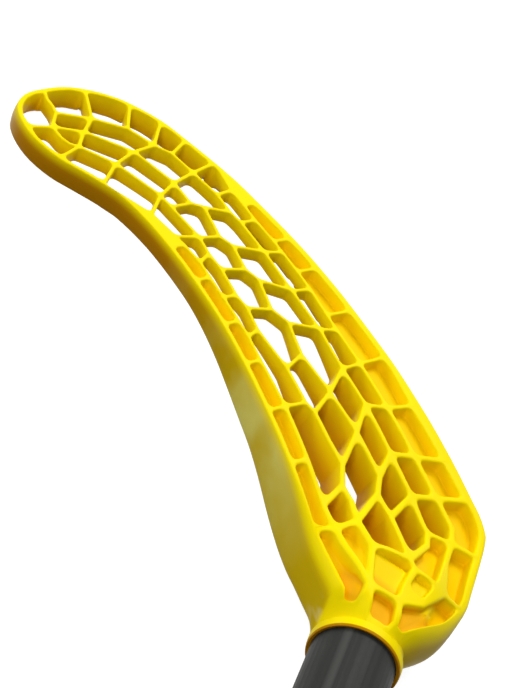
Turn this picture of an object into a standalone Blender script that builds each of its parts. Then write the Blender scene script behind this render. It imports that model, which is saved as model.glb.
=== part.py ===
"""A floorball stick: a moulded lattice blade on a hollow shaft, with a wound grip and a butt cap.

All sizes below are millimetres; MM turns them into Blender's metres when a mesh is made.
The stick is drawn in its own frame: +X runs along the shaft from the butt to the blade, the
middle of the blade socket's mouth is at zero, and +Z is square to the face of the blade.
At the end the whole stick is laid on the floor, the photographed face of the blade up.
"""
import math

import bmesh
import bpy
from mathutils import Matrix, Vector

MM = 0.001

# Clearance between pieces that touch
FIT_GAP = 0.3
# How far a cutter reaches past the face that it opens
CUT_BEYOND = 4.0

# Shaft
SHAFT_DIAMETER = 27.0
SHAFT_WALL = 1.6
SHAFT_LENGTH = 960.0

# Socket of the blade, which the shaft is pushed into
SOCKET_WALL = 1.2
SOCKET_DEPTH = 28.0
SOCKET_DOME = 5.0
LIP_LENGTH = 3.5
LIP_EDGE = 0.5

# Blade: overall form
LIE_ANGLE = math.radians(61.0)
BLADE_LENGTH = 250.4
HOOK_START = 40.0
HOOK_PER_MM = math.radians(6.0) / 100.0
TOE_THICKNESS = 8.5
HEEL_THICKNESS = 16.0
THICKEN_START = 115.0
THICKEN_LENGTH = 60.0

# Blade: the neck, which swells over the socket
NECK_COVER = 2.0
NECK_STEADY = 25.0
NECK_FADE = 40.0
FRONT_SHOULDER = 11.0
BACK_SHOULDER = 5.0
SHOULDER_START = 1.25
MOUTH_BLEND = 8.0
BACK_MOUTH_BLEND = 24.0
NECK_ROLL = 9.0
HEEL_ROLL = 7.0
ROLL_LENGTH = 50.0
ROLL_SLOPE = 1.0
RIM_BARREL = 0.7
NECK_BARREL = 3.2
NECK_BARREL_LENGTH = 56.0

# Blade: three places along the upper side where the rim's back edge stands deeper
NECK_EDGE_MIDDLE = 44.0
NECK_EDGE_DEPTH = 3.0
NECK_EDGE_TO_HEEL = 28.0
NECK_EDGE_TO_TOE = 40.0
WAIST_EDGE_MIDDLE = 102.0
WAIST_EDGE_DEPTH = 3.2
WAIST_EDGE_TO_HEEL = 42.0
WAIST_EDGE_TO_TOE = 38.0
TOE_EDGE_MIDDLE = 192.0
TOE_EDGE_DEPTH = 0.7
TOE_EDGE_TO_HEEL = 34.0
TOE_EDGE_TO_TOE = 50.0

# Blade: ribs, rim and pockets
TOE_RIB = 1.4
HEEL_RIB = 2.4
THIN_RIB_START = 40.0
THIN_RIB_FADE = 70.0
BACK_RIM = 1.9
NECK_RIM = 2.4
NECK_RIM_END = 60.0
NECK_RIM_FADE = 30.0
SOLE_RIM = 3.3
TOE_RIM = 2.0
TOE_RIM_START = 190.0
TOE_RIM_FADE = 30.0
HEEL_RIM = 5.5
HEEL_RIM_MIDDLE = 63.0
HEEL_RIM_REACH = 31.0
HEEL_RIM_FADE = 18.0
MOUTH_RIM = 2.4
HEEL_MOUTH_RIM = 4.8
RIB_SETBACK = 3.4
TOE_SETBACK = 2.4
RIB_SLOPE = 3.0
FRONT_POCKET = 4.5
HEEL_POCKET = 5.0
DEEP_POCKET_START = 70.0
DEEP_POCKET_FADE = 40.0
POCKET_FLOOR = 1.3
BACK_POCKET = 5.0
SOLID_ROUND_SOCKET = 10.0
CELL_RADIUS = 2.4
HEEL_CELL_RADIUS = 2.6

# Blade: the shelf over the socket, where the front pockets are shallow
SHELF_COVER = 0.15
LEAST_POCKET = 0.4
SHELF_REACH = 17.0
SHELF_SIDE_FADE = 6.0
SHELF_END = 31.5
SHELF_END_FADE = 3.5

# Screws that hold the blade on the shaft, in two pockets of the blade's hidden back
SCREW_HEAD_DIAMETER = 5.6
SCREW_HEAD_HEIGHT = 1.9
SCREW_SHANK_DIAMETER = 2.9
SCREW_HEAD_EDGE = 0.9
SCREW_HEAD_ROUND = 0.35
SCREW_RECESS_WIDTH = 0.9
SCREW_RECESS_ARM = 1.8
SCREW_RECESS_DEPTH = 1.0
SCREW_TIP = 2.5
SCREW_SEAT = 0.5
FIRST_SCREW = 6.0
SECOND_SCREW = 20.5
SCREW_ANGLE = math.radians(18.0)

# Grip, its finishing tape and the butt cap
GRIP_LENGTH = 340.0
GRIP_THICKNESS = 1.8
TAPE_LENGTH = 24.0
TAPE_THICKNESS = 0.9
EDGE_CHAMFER = 0.5
CAP_DIAMETER = 34.0
CAP_LENGTH = 14.0
CAP_ROUND = 5.0
PLUG_LENGTH = 30.0
PLUG_WALL = 2.0
PLUG_LEAD = 1.5

# Densities in grams per cubic centimetre, used only to find how the stick lies
DENSITY = {"blade": 0.95, "shaft": 1.5, "butt_cap": 1.1, "grip_band": 0.9, "grip_end_tape": 1.2}
SCREW_DENSITY = 7.8

# Fineness of round forms
ROUND_STEPS = 40
SCREW_STEPS = 20
SMOOTH_BELOW = math.radians(35.0)
CORNER_STEPS = 2
CAP_STEPS = 5
LIP_STEPS = 4
RIM_SPACING = 9.0
# A cell's corner is rounded where the sine of its turn is more than this
SHARP_TURN = 0.2
# A corner's round takes at most this share of the sides next to it
MOST_OF_HALF = 0.45
# Levels of the outer wall between the front and the back, as shares of its height
WALL_LEVELS = (0.25, 0.5, 0.75)

# The blade's drawing, with knots in millimetres along from the heel and up from the sole.
MOUTH_ALONG = 12.0
MOUTH_UP = 99.0
BACK_EDGE_ALONG = 15.0
BACK_EDGE_UP = 50.0
# The rim runs from the mouth's heel side round the sole, the toe and the back edge.
RIM = [
    (6.3, 95.8), (4.4, 83), (3.4, 69), (6.6, 54.3), (11.2, 45.3), (19.6, 30.3),
    (25.2, 21.6), (28.7, 18.5), (33.8, 16), (39.4, 14.5), (54.8, 10.6), (78.5, 5.8),
    (101, 0.5), (123.5, -3), (144.5, -3.7), (160, -3.3), (179.5, -1.8), (191, -0.8),
    (203, 1.3), (217, 4.4), (229, 7.5), (240.5, 14.3), (246.5, 20.5), (251.3, 29),
    (253.8, 38), (253.7, 48), (252.3, 57), (248.7, 64), (243, 69.3), (234.5, 72.7),
    (225.4, 73.5), (216, 71.3), (208.5, 67), (200.5, 62.3), (192, 58.8), (179.5, 57.5),
    (167, 57.7), (151, 59.2), (131, 62.2), (114, 66.7), (94.5, 74), (74, 82.2),
    (52, 91), (45, 94.1), (34.5, 99), (28.3, 102.4), (24.2, 105.8),
]
# Long ribs, each from the heel to the toe: the one next to the sole first.
RIB_A = [
    (28.9, 37.8), (33.8, 32.8), (45.2, 30.3), (61.5, 26.8), (81.5, 22), (101.5, 16.5),
    (117, 13.2), (124.5, 12), (136.5, 9.6), (145.5, 8.8), (155, 7.9), (161, 7.7),
    (172, 7.4), (180, 6.5), (188, 5.8), RIM[18],
]
RIB_B = [
    (35.3, 46), (49.2, 40.6), (65.5, 36.5), (85.4, 30.5), (101.5, 26.5), (119.8, 20.7),
    (138, 19), (157, 16.5), (172, 15.4), (177.5, 15.9), (187, 14.8), (199.6, 16.5),
    (210.7, 17.9), (216.3, 22.6), (226.8, 27.4), (234.4, 39.6), (239.7, 53.3),
]
RIB_C = [
    (28.1, 70.4), (44.7, 58.6), (53.9, 55.1), (59.2, 48.6), (76.5, 44.3), (94, 41.1),
    (111.5, 38.9), (125.4, 32.5), (132.2, 35.4), (145.6, 30.1), (151, 32.2), (162.4, 28.7),
    (167.5, 31.1), (182.4, 26.1), (185, 30.9), (196, 29.9), (214.4, 35), (227.9, 49.1),
    (232.4, 61.2),
]
RIB_D = [
    (47.5, 74.8), (54.5, 69.3), (60.8, 67.3), (67.5, 60.8), (77, 58.8), (88.5, 55),
    (93, 55.3), (108, 50.3), (125.7, 48.8), (135.4, 45.9), (141, 46), (153.6, 43.1),
    (161, 42.7), (169, 40.6), (185, 41.3), (191, 41.4), (209.5, 48.4), (220.5, 57.8),
]
RIB_E = [
    (48, 84.3), (57.3, 80.3), (73.3, 73.6), (94, 65), (113.8, 58.5), (124, 55.3),
    (131, 54), (142, 52.5), (151, 51), (158, 50), (167, 50.3), (171.5, 51),
    (183, 52.8), RIM[33],
]
# Knots of the short ribs round the socket and at the toe.
MOUTH_BACK = (20.3, 103.6)
MOUTH_FORK = (17, 101.8)
MOUTH_HEEL = (10.7, 98.3)
NECK_FORK = (26.3, 93.6)
NECK_TIP = (21.9, 100.9)
NECK_BEND = [(41.4, 87.7), (33.5, 90.5)]
NECK_CROSS = (37.3, 80.6)
HEEL_CROSS = (17.3, 86.8)
HEEL_BEND = (12, 93.5)
HEEL_LEFT = (13.5, 79)
HEEL_RIGHT = (21, 80.3)
HEEL_TOP = (24.5, 71.4)
HEEL_FORK = (16.5, 66.3)
HEEL_NOTCH = (14, 64.3)
HEEL_MID = (23.5, 49.5)
HEEL_STUB = (24.3, 33.5)
HEEL_LINK = (31.2, 52.5)
TOE_HOLE_BEND = [(248, 51), (243, 52)]
TOE_CURVE = [(226, 61.7), (222.6, 60.7)]


def remove_everything():
    for thing in list(bpy.data.objects):
        bpy.data.objects.remove(thing, do_unlink=True)


def plain_material(name, colour, roughness, metallic=0.0):
    material = bpy.data.materials.new(name)
    material.use_nodes = True
    shader = material.node_tree.nodes["Principled BSDF"]
    shader.inputs["Base Color"].default_value = (*colour, 1.0)
    shader.inputs["Roughness"].default_value = roughness
    shader.inputs["Metallic"].default_value = metallic
    return material


def finished_object(name, form, material=None):
    """Turns a bmesh in millimetres into an object in metres."""
    bmesh.ops.scale(form, vec=(MM, MM, MM), verts=form.verts)
    bmesh.ops.recalc_face_normals(form, faces=form.faces)
    mesh = bpy.data.meshes.new(name)
    form.to_mesh(mesh)
    form.free()
    mesh.shade_smooth()
    mesh.set_sharp_from_angle(angle=SMOOTH_BELOW)
    if material:
        mesh.materials.append(material)
    thing = bpy.data.objects.new(name, mesh)
    bpy.context.collection.objects.link(thing)
    return thing


def turned(profile, steps):
    """A solid turned round the X axis from (along, radius) points; radius 0 closes an end."""
    form = bmesh.new()
    rings = []
    for along, radius in profile:
        if radius == 0:
            rings.append([form.verts.new((along, 0, 0))])
            continue
        angles = [2 * math.pi * step / steps for step in range(steps)]
        rings.append([form.verts.new((along, radius * math.cos(a), radius * math.sin(a))) for a in angles])
    pairs = list(zip(rings, rings[1:]))
    if len(rings[0]) > 1:
        pairs.append((rings[-1], rings[0]))
    for one, other in pairs:
        for step in range(steps):
            after = (step + 1) % steps
            corners = [one[step % len(one)], one[after % len(one)]]
            corners += [other[after % len(other)], other[step % len(other)]]
            form.faces.new(list(dict.fromkeys(corners)))
    return form


def boolean(target, cutter, operation):
    cutter.hide_render = True
    cutter.display_type = "WIRE"
    modifier = target.modifiers.new(cutter.name, "BOOLEAN")
    modifier.operation = operation
    modifier.solver = "EXACT"
    modifier.object = cutter


def ease(t):
    t = min(max(t, 0.0), 1.0)
    return t * t * (3 - 2 * t)


def blend(low, high, t):
    return low + (high - low) * ease(t)


def from_mouth(point):
    """Distances along the blade and up from the socket's mouth, stretched to length past the heel."""
    u = point[0] - MOUTH_ALONG
    if u > HOOK_START:
        heel = MOUTH_ALONG + HOOK_START - min(knot[0] for knot in RIM)
        drawn = max(knot[0] for knot in RIM) - MOUTH_ALONG - HOOK_START
        u = HOOK_START + (u - HOOK_START) * (BLADE_LENGTH - heel) / drawn
    return u, point[1] - MOUTH_UP


def along_shaft(u, v):
    """How far into the socket a point of the drawing is, and how far to the side."""
    into = u * math.cos(LIE_ANGLE) - v * math.sin(LIE_ANGLE)
    aside = u * math.sin(LIE_ANGLE) + v * math.cos(LIE_ANGLE)
    return into, aside


def bore_radius():
    return SHAFT_DIAMETER / 2 + FIT_GAP


def socket_radius():
    return bore_radius() + SOCKET_WALL


def half_thickness(point, shoulder, mouth_blend):
    """Half the thickness of the moulding: thin at the toe, round over the socket."""
    u, v = from_mouth(point)
    into, aside = along_shaft(u, v)
    plate = blend(TOE_THICKNESS, HEEL_THICKNESS, (THICKEN_START - u) / THICKEN_LENGTH) / 2
    neck = blend(socket_radius() + NECK_COVER, plate, (into - NECK_STEADY) / NECK_FADE)
    thick = blend(plate, neck, SHOULDER_START - abs(aside) / (socket_radius() + shoulder))
    socket = math.sqrt(max(socket_radius() ** 2 - aside ** 2, (TOE_THICKNESS / 2) ** 2))
    return blend(socket, thick, into / mouth_blend)


def in_stick_frame(point, height):
    """Bends the flat drawing into the hook and lays it in the stick's frame."""
    u, v = from_mouth(point)
    along, rise = u, height
    if u > HOOK_START:
        turn = HOOK_PER_MM * (u - HOOK_START)
        along = HOOK_START + math.sin(turn) / HOOK_PER_MM + height * math.sin(turn)
        rise = height * math.cos(turn) - (1 - math.cos(turn)) / HOOK_PER_MM
    into, aside = along_shaft(along, v)
    return Vector((into, aside, rise))


def smooth_chain(knots):
    """Adds points between the rim's knots, on a smooth curve through them."""
    points = []
    for index in range(len(knots) - 1):
        before = Vector(knots[max(index - 1, 0)])
        start = Vector(knots[index])
        end = Vector(knots[index + 1])
        after = Vector(knots[min(index + 2, len(knots) - 1)])
        steps = max(1, round((end - start).length / RIM_SPACING))
        for step in range(steps):
            t = step / steps
            curve = (2 * start + (end - before) * t + (2 * before - 5 * start + 4 * end - after) * t ** 2
                     + (3 * start - before - 3 * end + after) * t ** 3) / 2
            points.append(tuple(curve) if step else knots[index])
    return points + [knots[-1]]


SMOOTH_RIM = smooth_chain(RIM)


def span(knots, first, last):
    """The points of a chain between two of its knots, both included."""
    chain = SMOOTH_RIM if knots is RIM else knots
    start = chain.index(knots[first])
    end = chain.index(knots[last])
    return chain[start:end + 1] if start <= end else chain[end:start + 1][::-1]


def ladder(lower, upper, pairs):
    """The cells between two long ribs, from one cross rib to the next, each a pair of knot numbers."""
    cells = []
    for (low, high), (next_low, next_high) in zip(pairs, pairs[1:]):
        cells.append(span(lower, low, next_low) + span(upper, next_high, high))
    return cells


def open_cells():
    """Cells that go right through the blade."""
    a_to_b = [(0, 0), (2, 1), (3, 2), (4, 3), (5, 4), (6, 5), (8, 6), (10, 7), (12, 8), (14, 10), (15, 11)]
    toe_to_b = [(18, 11), (19, 12), (20, 13), (21, 14), (23, 15)]
    b_to_c = [(1, 1), (2, 3), (3, 4), (4, 5), (5, 7), (6, 9), (7, 11), (9, 13), (11, 15), (13, 16), (15, 17)]
    b_to_c.append((16, 18))
    c_to_d = [(2, 0), (4, 3), (5, 5), (6, 7), (8, 9), (10, 11), (12, 13), (14, 14), (15, 15), (16, 16)]
    c_to_d.append((17, 17))
    d_to_e = [(0, 0), (2, 1), (6, 3), (8, 5), (10, 7), (12, 9), (13, 11), (15, 12), (16, 13)]
    cells = ladder(RIB_A, RIB_B, a_to_b) + ladder(RIM, RIB_B, toe_to_b)
    cells += ladder(RIB_B, RIB_C, b_to_c) + ladder(RIB_C, RIB_D, c_to_d) + ladder(RIB_D, RIB_E, d_to_e)
    cells.append(span(RIM, 23, 25) + TOE_HOLE_BEND + span(RIB_B, 16, 15))
    cells.append(span(RIM, 25, 29) + [RIB_C[18], RIB_B[16]] + TOE_HOLE_BEND[::-1])
    cells.append(span(RIM, 29, 31) + [RIB_D[17]] + TOE_CURVE[::-1] + [RIB_C[18]])
    cells.append([RIB_C[17], RIB_C[18]] + TOE_CURVE + [RIB_D[17]])
    cells.append(span(RIB_D, 16, 17) + span(RIM, 31, 33))
    cells.append(span(RIB_B, 0, 1) + span(RIB_C, 1, 0) + [HEEL_LINK])
    cells.append(span(RIB_C, 1, 2) + [RIB_D[0], NECK_CROSS, RIB_C[0]])
    return cells


def pocket_cells():
    """Shallow cells with a floor, along both edges and round the socket."""
    sole_to_a = [(9, 2), (10, 3), (11, 4), (12, 5), (13, 7), (14, 9), (15, 11), (16, 13)]
    e_to_back = [(0, 42), (2, 41), (3, 40), (4, 39), (6, 38), (8, 37), (10, 36)]
    cells = ladder(RIM, RIB_A, sole_to_a) + ladder(RIB_E, RIM, e_to_back)
    cells.append([RIB_E[0]] + NECK_BEND + [NECK_FORK, NECK_TIP] + span(RIM, 45, 42))
    cells.append([RIB_D[0], RIB_E[0]] + NECK_BEND + [NECK_FORK, NECK_CROSS])
    cells.append([RIB_C[0], NECK_CROSS, NECK_FORK, HEEL_CROSS, HEEL_RIGHT, HEEL_TOP])
    cells.append([HEEL_CROSS, NECK_FORK, MOUTH_FORK, MOUTH_HEEL, HEEL_BEND])
    cells.append([HEEL_FORK, HEEL_TOP, HEEL_RIGHT, HEEL_LEFT])
    cells.append(span(RIM, 0, 3) + [HEEL_NOTCH, HEEL_LEFT, HEEL_CROSS, HEEL_BEND, MOUTH_HEEL])
    cells.append([RIB_A[0], RIB_B[0], HEEL_LINK, RIB_C[0], HEEL_TOP, HEEL_FORK, HEEL_MID])
    cells.append(span(RIM, 3, 5) + [HEEL_STUB, RIB_A[0], HEEL_MID, HEEL_NOTCH])
    cells.append(span(RIM, 5, 9) + span(RIB_A, 2, 0) + [HEEL_STUB])
    return cells


def solid_cells():
    """Parts of the net that stay full, where a long rib runs into the rim."""
    return [
        span(RIM, 16, 18) + span(RIB_A, 14, 13),
        span(RIB_E, 10, 13) + span(RIM, 34, 36),
        [HEEL_LEFT, HEEL_RIGHT, HEEL_CROSS],
        [HEEL_NOTCH, HEEL_LEFT, HEEL_FORK, HEEL_MID],
        span(RIM, 45, 46) + [MOUTH_BACK, MOUTH_FORK, NECK_FORK, NECK_TIP],
    ]


def clean_cell(points):
    """The cell's points once each, anticlockwise."""
    points = list(dict.fromkeys(points))
    area = sum(a[0] * b[1] - b[0] * a[1] for a, b in zip(points, points[1:] + points[:1]))
    return points if area > 0 else points[::-1]


def edge_inset(one, other):
    """How far a cell's side stands in from the line between two knots."""
    along = (one[0] + other[0]) / 2
    up = (one[1] + other[1]) / 2
    if {one, other} == {MOUTH_FORK, MOUTH_HEEL}:
        return MOUTH_RIM
    if {one, other} == {RIM[0], MOUTH_HEEL}:
        return HEEL_MOUTH_RIM
    if one not in SMOOTH_RIM or other not in SMOOTH_RIM:
        return blend(HEEL_RIB, TOE_RIB, (along - THIN_RIB_START) / THIN_RIB_FADE) / 2
    if up > BACK_EDGE_UP and along > BACK_EDGE_ALONG:
        return blend(BACK_RIM, NECK_RIM, (NECK_RIM_END - along) / NECK_RIM_FADE)
    sole = blend(SOLE_RIM, HEEL_RIM, (HEEL_RIM_REACH - abs(along - HEEL_RIM_MIDDLE)) / HEEL_RIM_FADE)
    return blend(sole, TOE_RIM, (along - TOE_RIM_START) / TOE_RIM_FADE)


def inner_loop(points):
    """The cell's own edge, inside its ribs: for each knot, the points that round its corner."""
    count = len(points)
    sides = []
    for index in range(count):
        start = Vector(points[index])
        end = Vector(points[(index + 1) % count])
        direction = (end - start).normalized()
        inward = Vector((-direction.y, direction.x))
        sides.append((start, direction, inward, edge_inset(points[index], points[(index + 1) % count])))
    corners = []
    for index in range(count):
        start, direction, inward, inset = sides[index]
        _, before, before_in, before_inset = sides[index - 1]
        turn = before.x * direction.y - before.y * direction.x
        if abs(turn) < SHARP_TURN and before.dot(direction) > 0:
            corners.append((start + (inward + before_in).normalized() * (inset + before_inset) / 2, turn))
            continue
        offset = inward * inset - before_in * before_inset
        slide = (offset.x * direction.y - offset.y * direction.x) / turn
        corners.append((start + before_in * before_inset + before * slide, turn))
    loop = []
    for index in range(count):
        corner, turn = corners[index]
        back = corners[index - 1][0] - corner
        ahead = corners[(index + 1) % count][0] - corner
        if turn < SHARP_TURN:
            loop.append([tuple(corner)])
            continue
        radius = blend(HEEL_CELL_RADIUS, CELL_RADIUS, (corner.x - THIN_RIB_START) / THIN_RIB_FADE)
        longest = MOST_OF_HALF * min(back.length, ahead.length)
        reach = min(radius / math.tan(back.angle(ahead) / 2), longest)
        first = corner + back.normalized() * reach
        last = corner + ahead.normalized() * reach
        arc = []
        for step in range(CORNER_STEPS + 1):
            t = step / CORNER_STEPS
            arc.append(tuple(first * (1 - t) ** 2 + corner * 2 * t * (1 - t) + last * t ** 2))
        loop.append(arc)
    return loop


def rim_distance(point):
    nearest = 1e9
    here = Vector(point)
    for one, other in zip(SMOOTH_RIM, SMOOTH_RIM[1:]):
        start = Vector(one)
        run = Vector(other) - start
        t = min(max((here - start).dot(run) / run.length_squared, 0.0), 1.0)
        nearest = min(nearest, (start + run * t - here).length)
    return nearest


def roll_off(point):
    """How much lower the front lies near the rim, where the neck turns into its round side."""
    into, aside = along_shaft(*from_mouth(point))
    reach = blend(NECK_ROLL if aside > 0 else HEEL_ROLL, 0.0, into / ROLL_LENGTH)
    within = reach - rim_distance(point)
    return ROLL_SLOPE * within ** 2 / (2 * reach) if within > 0 else 0.0


def swell(u, middle, depth, to_heel, to_toe):
    """A smooth rise to a depth at its middle, which ends at a distance to the heel and to the toe."""
    return depth * ease(1 - abs(u - middle) / (to_heel if u < middle else to_toe))


def edge_depth(point):
    """How much deeper the back edge of the rim stands along the blade's upper side."""
    if point[1] < BACK_EDGE_UP:
        return 0.0
    u = from_mouth(point)[0]
    return (swell(u, NECK_EDGE_MIDDLE, NECK_EDGE_DEPTH, NECK_EDGE_TO_HEEL, NECK_EDGE_TO_TOE)
            + swell(u, WAIST_EDGE_MIDDLE, WAIST_EDGE_DEPTH, WAIST_EDGE_TO_HEEL, WAIST_EDGE_TO_TOE)
            + swell(u, TOE_EDGE_MIDDLE, TOE_EDGE_DEPTH, TOE_EDGE_TO_HEEL, TOE_EDGE_TO_TOE))


def back_height(point):
    """Where the back lies: the rim stands behind the ribs, and deeper still along the upper side."""
    share = ease((rim_distance(point) - BACK_RIM) / RIB_SLOPE)
    ribs = blend(RIB_SETBACK, TOE_SETBACK, (point[0] - TOE_RIM_START) / TOE_RIM_FADE)
    rim = -edge_depth(point)
    return rim + (ribs - rim) * share - half_thickness(point, BACK_SHOULDER, BACK_MOUTH_BLEND)


def height(point, level):
    """Where the front, the back and the two sides of a pocket's floor lie over a point."""
    front = half_thickness(point, FRONT_SHOULDER, MOUTH_BLEND) - roll_off(point)
    if level == "front":
        return front
    if level == "back":
        return back_height(point)
    into, aside = along_shaft(*from_mouth(point))
    floor = front - blend(FRONT_POCKET, HEEL_POCKET, (DEEP_POCKET_START - point[0]) / DEEP_POCKET_FADE)
    shelf = min(max(floor, socket_radius() + SHELF_COVER), front - LEAST_POCKET)
    over = ease((SHELF_REACH - abs(aside)) / SHELF_SIDE_FADE) * ease((SHELF_END - into) / SHELF_END_FADE)
    floor += (shelf - floor) * over
    if level == "front_floor":
        return floor
    clear = max(abs(aside) - socket_radius(), into - SOCKET_DEPTH - SOCKET_DOME)
    return blend(height(point, "back") + BACK_POCKET, floor - POCKET_FLOOR, clear / SOLID_ROUND_SOCKET)


class Moulding:
    """Collects the blade's faces, with one vertex for each point and level."""

    def __init__(self):
        self.form = bmesh.new()
        self.verts = {}

    def vertex(self, point, level):
        key = (round(point[0], 4), round(point[1], 4), level)
        if key not in self.verts:
            self.verts[key] = self.form.verts.new(in_stick_frame(point, height(point, level)))
        return self.verts[key]

    def face(self, points, level):
        self.form.faces.new([self.vertex(point, level) for point in points])

    def wall(self, one, other, top, bottom):
        corners = [(one, top), (one, bottom), (other, bottom), (other, top)]
        self.form.faces.new([self.vertex(point, level) for point, level in corners])

    def ring(self, points, loop, level):
        """The strip of rib or rim between a cell's knots and its own edge."""
        count = len(points)
        for index in range(count):
            after = (index + 1) % count
            self.face([points[index], points[after], loop[after][0], loop[index][-1]], level)
            for one, other in zip(loop[index], loop[index][1:]):
                self.face([points[index], other, one], level)

    def cell(self, points, pocket):
        loop = inner_loop(points)
        edge = [point for corner in loop for point in corner]
        for level in ("front", "back"):
            self.ring(points, loop, level)
        for one, other in zip(edge, edge[1:] + edge[:1]):
            if pocket:
                self.wall(one, other, "front", "front_floor")
                self.wall(one, other, "back", "back_floor")
            else:
                self.wall(one, other, "front", "back")
        if pocket:
            self.face(edge, "front_floor")
            self.face(edge, "back_floor")

    def outline(self, points):
        """The outer wall, which swells a little between the front and the back."""
        columns = []
        for index, point in enumerate(points):
            run = Vector(points[(index + 1) % len(points)]) - Vector(points[index - 1])
            outward = Vector((run.y, -run.x)).normalized()
            top, bottom = height(point, "front"), height(point, "back")
            column = [self.vertex(point, "front")]
            for share in WALL_LEVELS:
                place = Vector(point) + outward * barrel(point) * math.sin(math.pi * share)
                column.append(self.form.verts.new(in_stick_frame(place, top + (bottom - top) * share)))
            columns.append(column + [self.vertex(point, "back")])
        for one, other in zip(columns, columns[1:] + columns[:1]):
            for level in range(len(one) - 1):
                self.form.faces.new([one[level], one[level + 1], other[level + 1], other[level]])


def barrel(point):
    """How far the outer wall swells: most at the heel side of the mouth."""
    into, aside = along_shaft(*from_mouth(point))
    if point in (MOUTH_BACK, MOUTH_FORK, MOUTH_HEEL) or aside > 0:
        return RIM_BARREL if into > MOUTH_RIM else 0.0
    return blend(NECK_BARREL, RIM_BARREL, into / NECK_BARREL_LENGTH)


def blade_plate():
    moulding = Moulding()
    for points in open_cells():
        moulding.cell(clean_cell(points), pocket=False)
    for points in pocket_cells():
        moulding.cell(clean_cell(points), pocket=True)
    for points in solid_cells():
        for level in ("front", "back"):
            moulding.face(clean_cell(points), level)
    moulding.outline(SMOOTH_RIM + [MOUTH_BACK, MOUTH_FORK, MOUTH_HEEL])
    form = moulding.form
    bmesh.ops.triangulate(form, faces=form.faces, quad_method="SHORT_EDGE", ngon_method="BEAUTY")
    return form


def socket_core():
    """The round body that the bore is cut in: a tapered lip outside, and a dome inside the lattice."""
    outer = socket_radius()
    edge = bore_radius() + LIP_EDGE
    profile = [(-LIP_LENGTH, 0)]
    for step in range(LIP_STEPS + 1):
        angle = math.pi / 2 * step / LIP_STEPS
        profile.append((-LIP_LENGTH * math.cos(angle), edge + (outer - edge) * math.sin(angle)))
    profile.append((SOCKET_DEPTH, outer))
    for step in range(1, CAP_STEPS):
        angle = math.pi / 2 * step / CAP_STEPS
        profile.append((SOCKET_DEPTH + SOCKET_DOME * math.sin(angle), outer * math.cos(angle)))
    profile.append((SOCKET_DEPTH + SOCKET_DOME, 0))
    return turned(profile, ROUND_STEPS)


def socket_bore():
    """The cutter for the shaft's bore."""
    radius = bore_radius()
    outside = -LIP_LENGTH - CUT_BEYOND
    return turned([(outside, 0), (outside, radius), (SOCKET_DEPTH, radius), (SOCKET_DEPTH, 0)], ROUND_STEPS)


def screw_placement(into):
    """Turns a form made along X so that it points out of the blade's back, off the ribs."""
    outward = Vector((0, math.sin(SCREW_ANGLE), -math.cos(SCREW_ANGLE)))
    return Matrix.Translation((into * MM, 0, 0)) @ outward.to_track_quat("X", "Y").to_matrix().to_4x4()


def screw_hole(name, into, start):
    """A cutter for one screw: its clearance hole, and the flat seat under its head."""
    hole = SCREW_SHANK_DIAMETER / 2 + FIT_GAP
    seat = socket_radius() - SCREW_SEAT
    clear = SCREW_HEAD_DIAMETER / 2 + FIT_GAP
    end = seat + NECK_COVER + CUT_BEYOND
    profile = [(start, 0), (start, hole), (seat, hole), (seat, clear), (end, clear), (end, 0)]
    cutter = finished_object(name, turned(profile, SCREW_STEPS))
    cutter.matrix_world = screw_placement(into)
    return cutter


def shaft_inner_radius():
    return SHAFT_DIAMETER / 2 - SHAFT_WALL


def add_blade(material):
    blade = finished_object("blade", blade_plate(), material)
    boolean(blade, finished_object("socket_core", socket_core()), "UNION")
    boolean(blade, finished_object("socket_bore", socket_bore()), "DIFFERENCE")
    middle = shaft_inner_radius()
    boolean(blade, screw_hole("blade_hole_1", FIRST_SCREW, middle), "DIFFERENCE")
    boolean(blade, screw_hole("blade_hole_2", SECOND_SCREW, middle), "DIFFERENCE")
    return blade


def shaft_ends():
    near = SOCKET_DEPTH - FIT_GAP
    return near - SHAFT_LENGTH, near


def add_shaft(material):
    outer = SHAFT_DIAMETER / 2
    far, near = shaft_ends()
    profile = [(far, shaft_inner_radius()), (near, shaft_inner_radius()), (near, outer), (far, outer)]
    shaft = finished_object("shaft", turned(profile, ROUND_STEPS), material)
    start = shaft_inner_radius() - SHAFT_WALL
    boolean(shaft, screw_hole("shaft_hole_1", FIRST_SCREW, start), "DIFFERENCE")
    boolean(shaft, screw_hole("shaft_hole_2", SECOND_SCREW, start), "DIFFERENCE")
    return shaft


def add_screw(name, into, material):
    """A pan-head screw with a cross recess, seated on the socket and biting into the shaft."""
    seat = socket_radius() - SCREW_SEAT + FIT_GAP
    head = SCREW_HEAD_DIAMETER / 2
    shank = SCREW_SHANK_DIAMETER / 2
    tip = shaft_inner_radius() - SCREW_TIP
    top = seat + SCREW_HEAD_HEIGHT
    profile = [(tip, 0), (tip + SCREW_TIP, shank), (seat, shank), (seat, head), (top - SCREW_HEAD_EDGE, head)]
    profile += [(top - SCREW_HEAD_ROUND, head - SCREW_HEAD_ROUND), (top, head - SCREW_HEAD_EDGE), (top, 0)]
    screw = finished_object(name, turned(profile, SCREW_STEPS), material)
    cutter = finished_object(name + "_recess", cross_recess(top))
    screw.matrix_world = screw_placement(into)
    cutter.matrix_world = screw_placement(into)
    boolean(screw, cutter, "DIFFERENCE")
    return screw


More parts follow.
